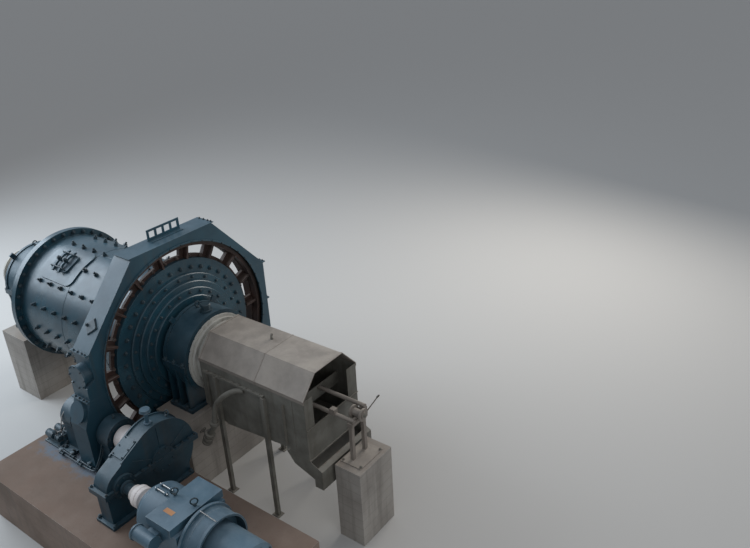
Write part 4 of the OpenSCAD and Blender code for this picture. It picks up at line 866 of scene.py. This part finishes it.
# Beyond the box a small welded stand on its own foot carries two bars that reach in over
# the sill, with two flanged rollers and a hand lever on its head.
STAND_FOOT, ROLLER_AXIS = 1.492, (0, 2.307)
roller_end = solid_of_turn([(0.03, -0.002), (0.03, 0.012), (0.02, 0.018)], 16)
lever_grip = solid_of_turn([(0.014, -0.03), (0.016, 0.0), (0.014, 0.03)], 10)
stand_fittings = joined(
    copies(nut_on_stud(0.024), grid([3.26, 3.61], [-0.26, 0.26], [STAND_FOOT]), (0, 0, 1)),
    copies(nut_on_stud(0.018), ring_places(3.3, 0.075, every(4, 45), ROLLER_AXIS), (-1, 0, 0)),
    copies(roller_end, [(3.54, *ROLLER_AXIS)], (1, 0, 0)),
    copies(lever_grip, [(3.59, 0.3, 2.51)], (0.57, 0.33, 0.75)))
piece("stand_fittings", stand_fittings, shaded_box_primer, "frame", smooth=0.7)

# The piers are cast concrete, with board marks and stains on their sides, and grease and
# dust trodden over their tops. The drive's block is browner, and light-blue paint was
# sprayed over its top round the pumps.


def cast_concrete(finish_name, pale, dark, trodden=(0.27, 0.22, 0.18)):
    """Concrete in layers: broad clouds between dark and pale, thin lines every 0.18 m of
    height from the shutter boards, small pits, runs down the sides and trodden dirt on top."""
    finish = layered(finish_name, pale, dark, trodden, (0.5, 0.48, 0.45), dust=0.7, runs=0.5,
                     casting=0.6, gloss=0.85, tone_scale=0.9, run_colour=(0.12, 0.105, 0.09), bump=0.5)
    tree = finish.node_tree
    shader = tree.nodes["Principled BSDF"]
    aged = shader.inputs["Base Color"].links[0].from_socket
    place = tree.nodes.new("ShaderNodeTexCoord").outputs["Object"]
    height = add(tree, "SeparateXYZ", {0: place}).outputs[2]
    board = maths(tree, "FRACT", maths(tree, "DIVIDE", height, 0.18))
    line = spread(tree, maths(tree, "ABSOLUTE", maths(tree, "SUBTRACT", board, 0.5)), 0.47, 0.495)
    pit = add(tree, "TexVoronoi", {"Vector": place, "Scale": 26.0}).outputs[0]
    pits = spread(tree, pit, 0.16, 0.08)
    marks = maths(tree, "MULTIPLY", maths(tree, "MAXIMUM", line, pits), 0.45)
    tree.links.new(tint(tree, marks, aged, (0.08, 0.07, 0.06, 1)), shader.inputs["Base Color"])
    relief = shader.inputs["Normal"].links[0].from_node
    grain = relief.inputs["Height"].links[0].from_socket
    lower = maths(tree, "SUBTRACT", grain, maths(tree, "MULTIPLY", marks, 1.5))
    tree.links.new(lower, relief.inputs["Height"])
    return finish


def overspray(finish, middle, half_size, top, colour):
    """Thin paint over the top of a block: full on a patch of this half size round its middle,
    with a ragged edge that noise moves in and out, and none below the top."""
    tree = finish.node_tree
    shader = tree.nodes["Principled BSDF"]
    under = shader.inputs["Base Color"].links[0].from_socket
    place = tree.nodes.new("ShaderNodeTexCoord").outputs["Object"]
    x, y, z = add(tree, "SeparateXYZ", {0: place}).outputs
    ragged = maths(tree, "MULTIPLY", maths(tree, "SUBTRACT", cloud(tree, place, 4, 9, 0.7), 0.5), 1.1)
    cover = spread(tree, z, top - 0.02, top - 0.005, 0, 0.7)
    for along, at, half, soft in ((x, middle[0], half_size[0], 0.35), (y, middle[1], half_size[1], 0.24)):
        away = maths(tree, "ABSOLUTE", maths(tree, "SUBTRACT", along, at))
        inside = spread(tree, maths(tree, "ADD", away, ragged), half, half - soft)
        cover = maths(tree, "MULTIPLY", cover, inside)
    tree.links.new(tint(tree, cover, under, (*colour, 1)), shader.inputs["Base Color"])


pier_concrete = cast_concrete("pier_concrete", (0.34, 0.315, 0.285), (0.22, 0.2, 0.18))
dress(pier_concrete, "feed_pier", "discharge_pier", "stand_pier")
bed_concrete = cast_concrete("bed_concrete", (0.24, 0.18, 0.145), (0.15, 0.11, 0.085), (0.19, 0.13, 0.1))
overspray(bed_concrete, middle=(-0.95, -2.33), half_size=(1.15, 0.34), top=1.0, colour=(0.13, 0.19, 0.25))
dress(bed_concrete, "drive_pier")
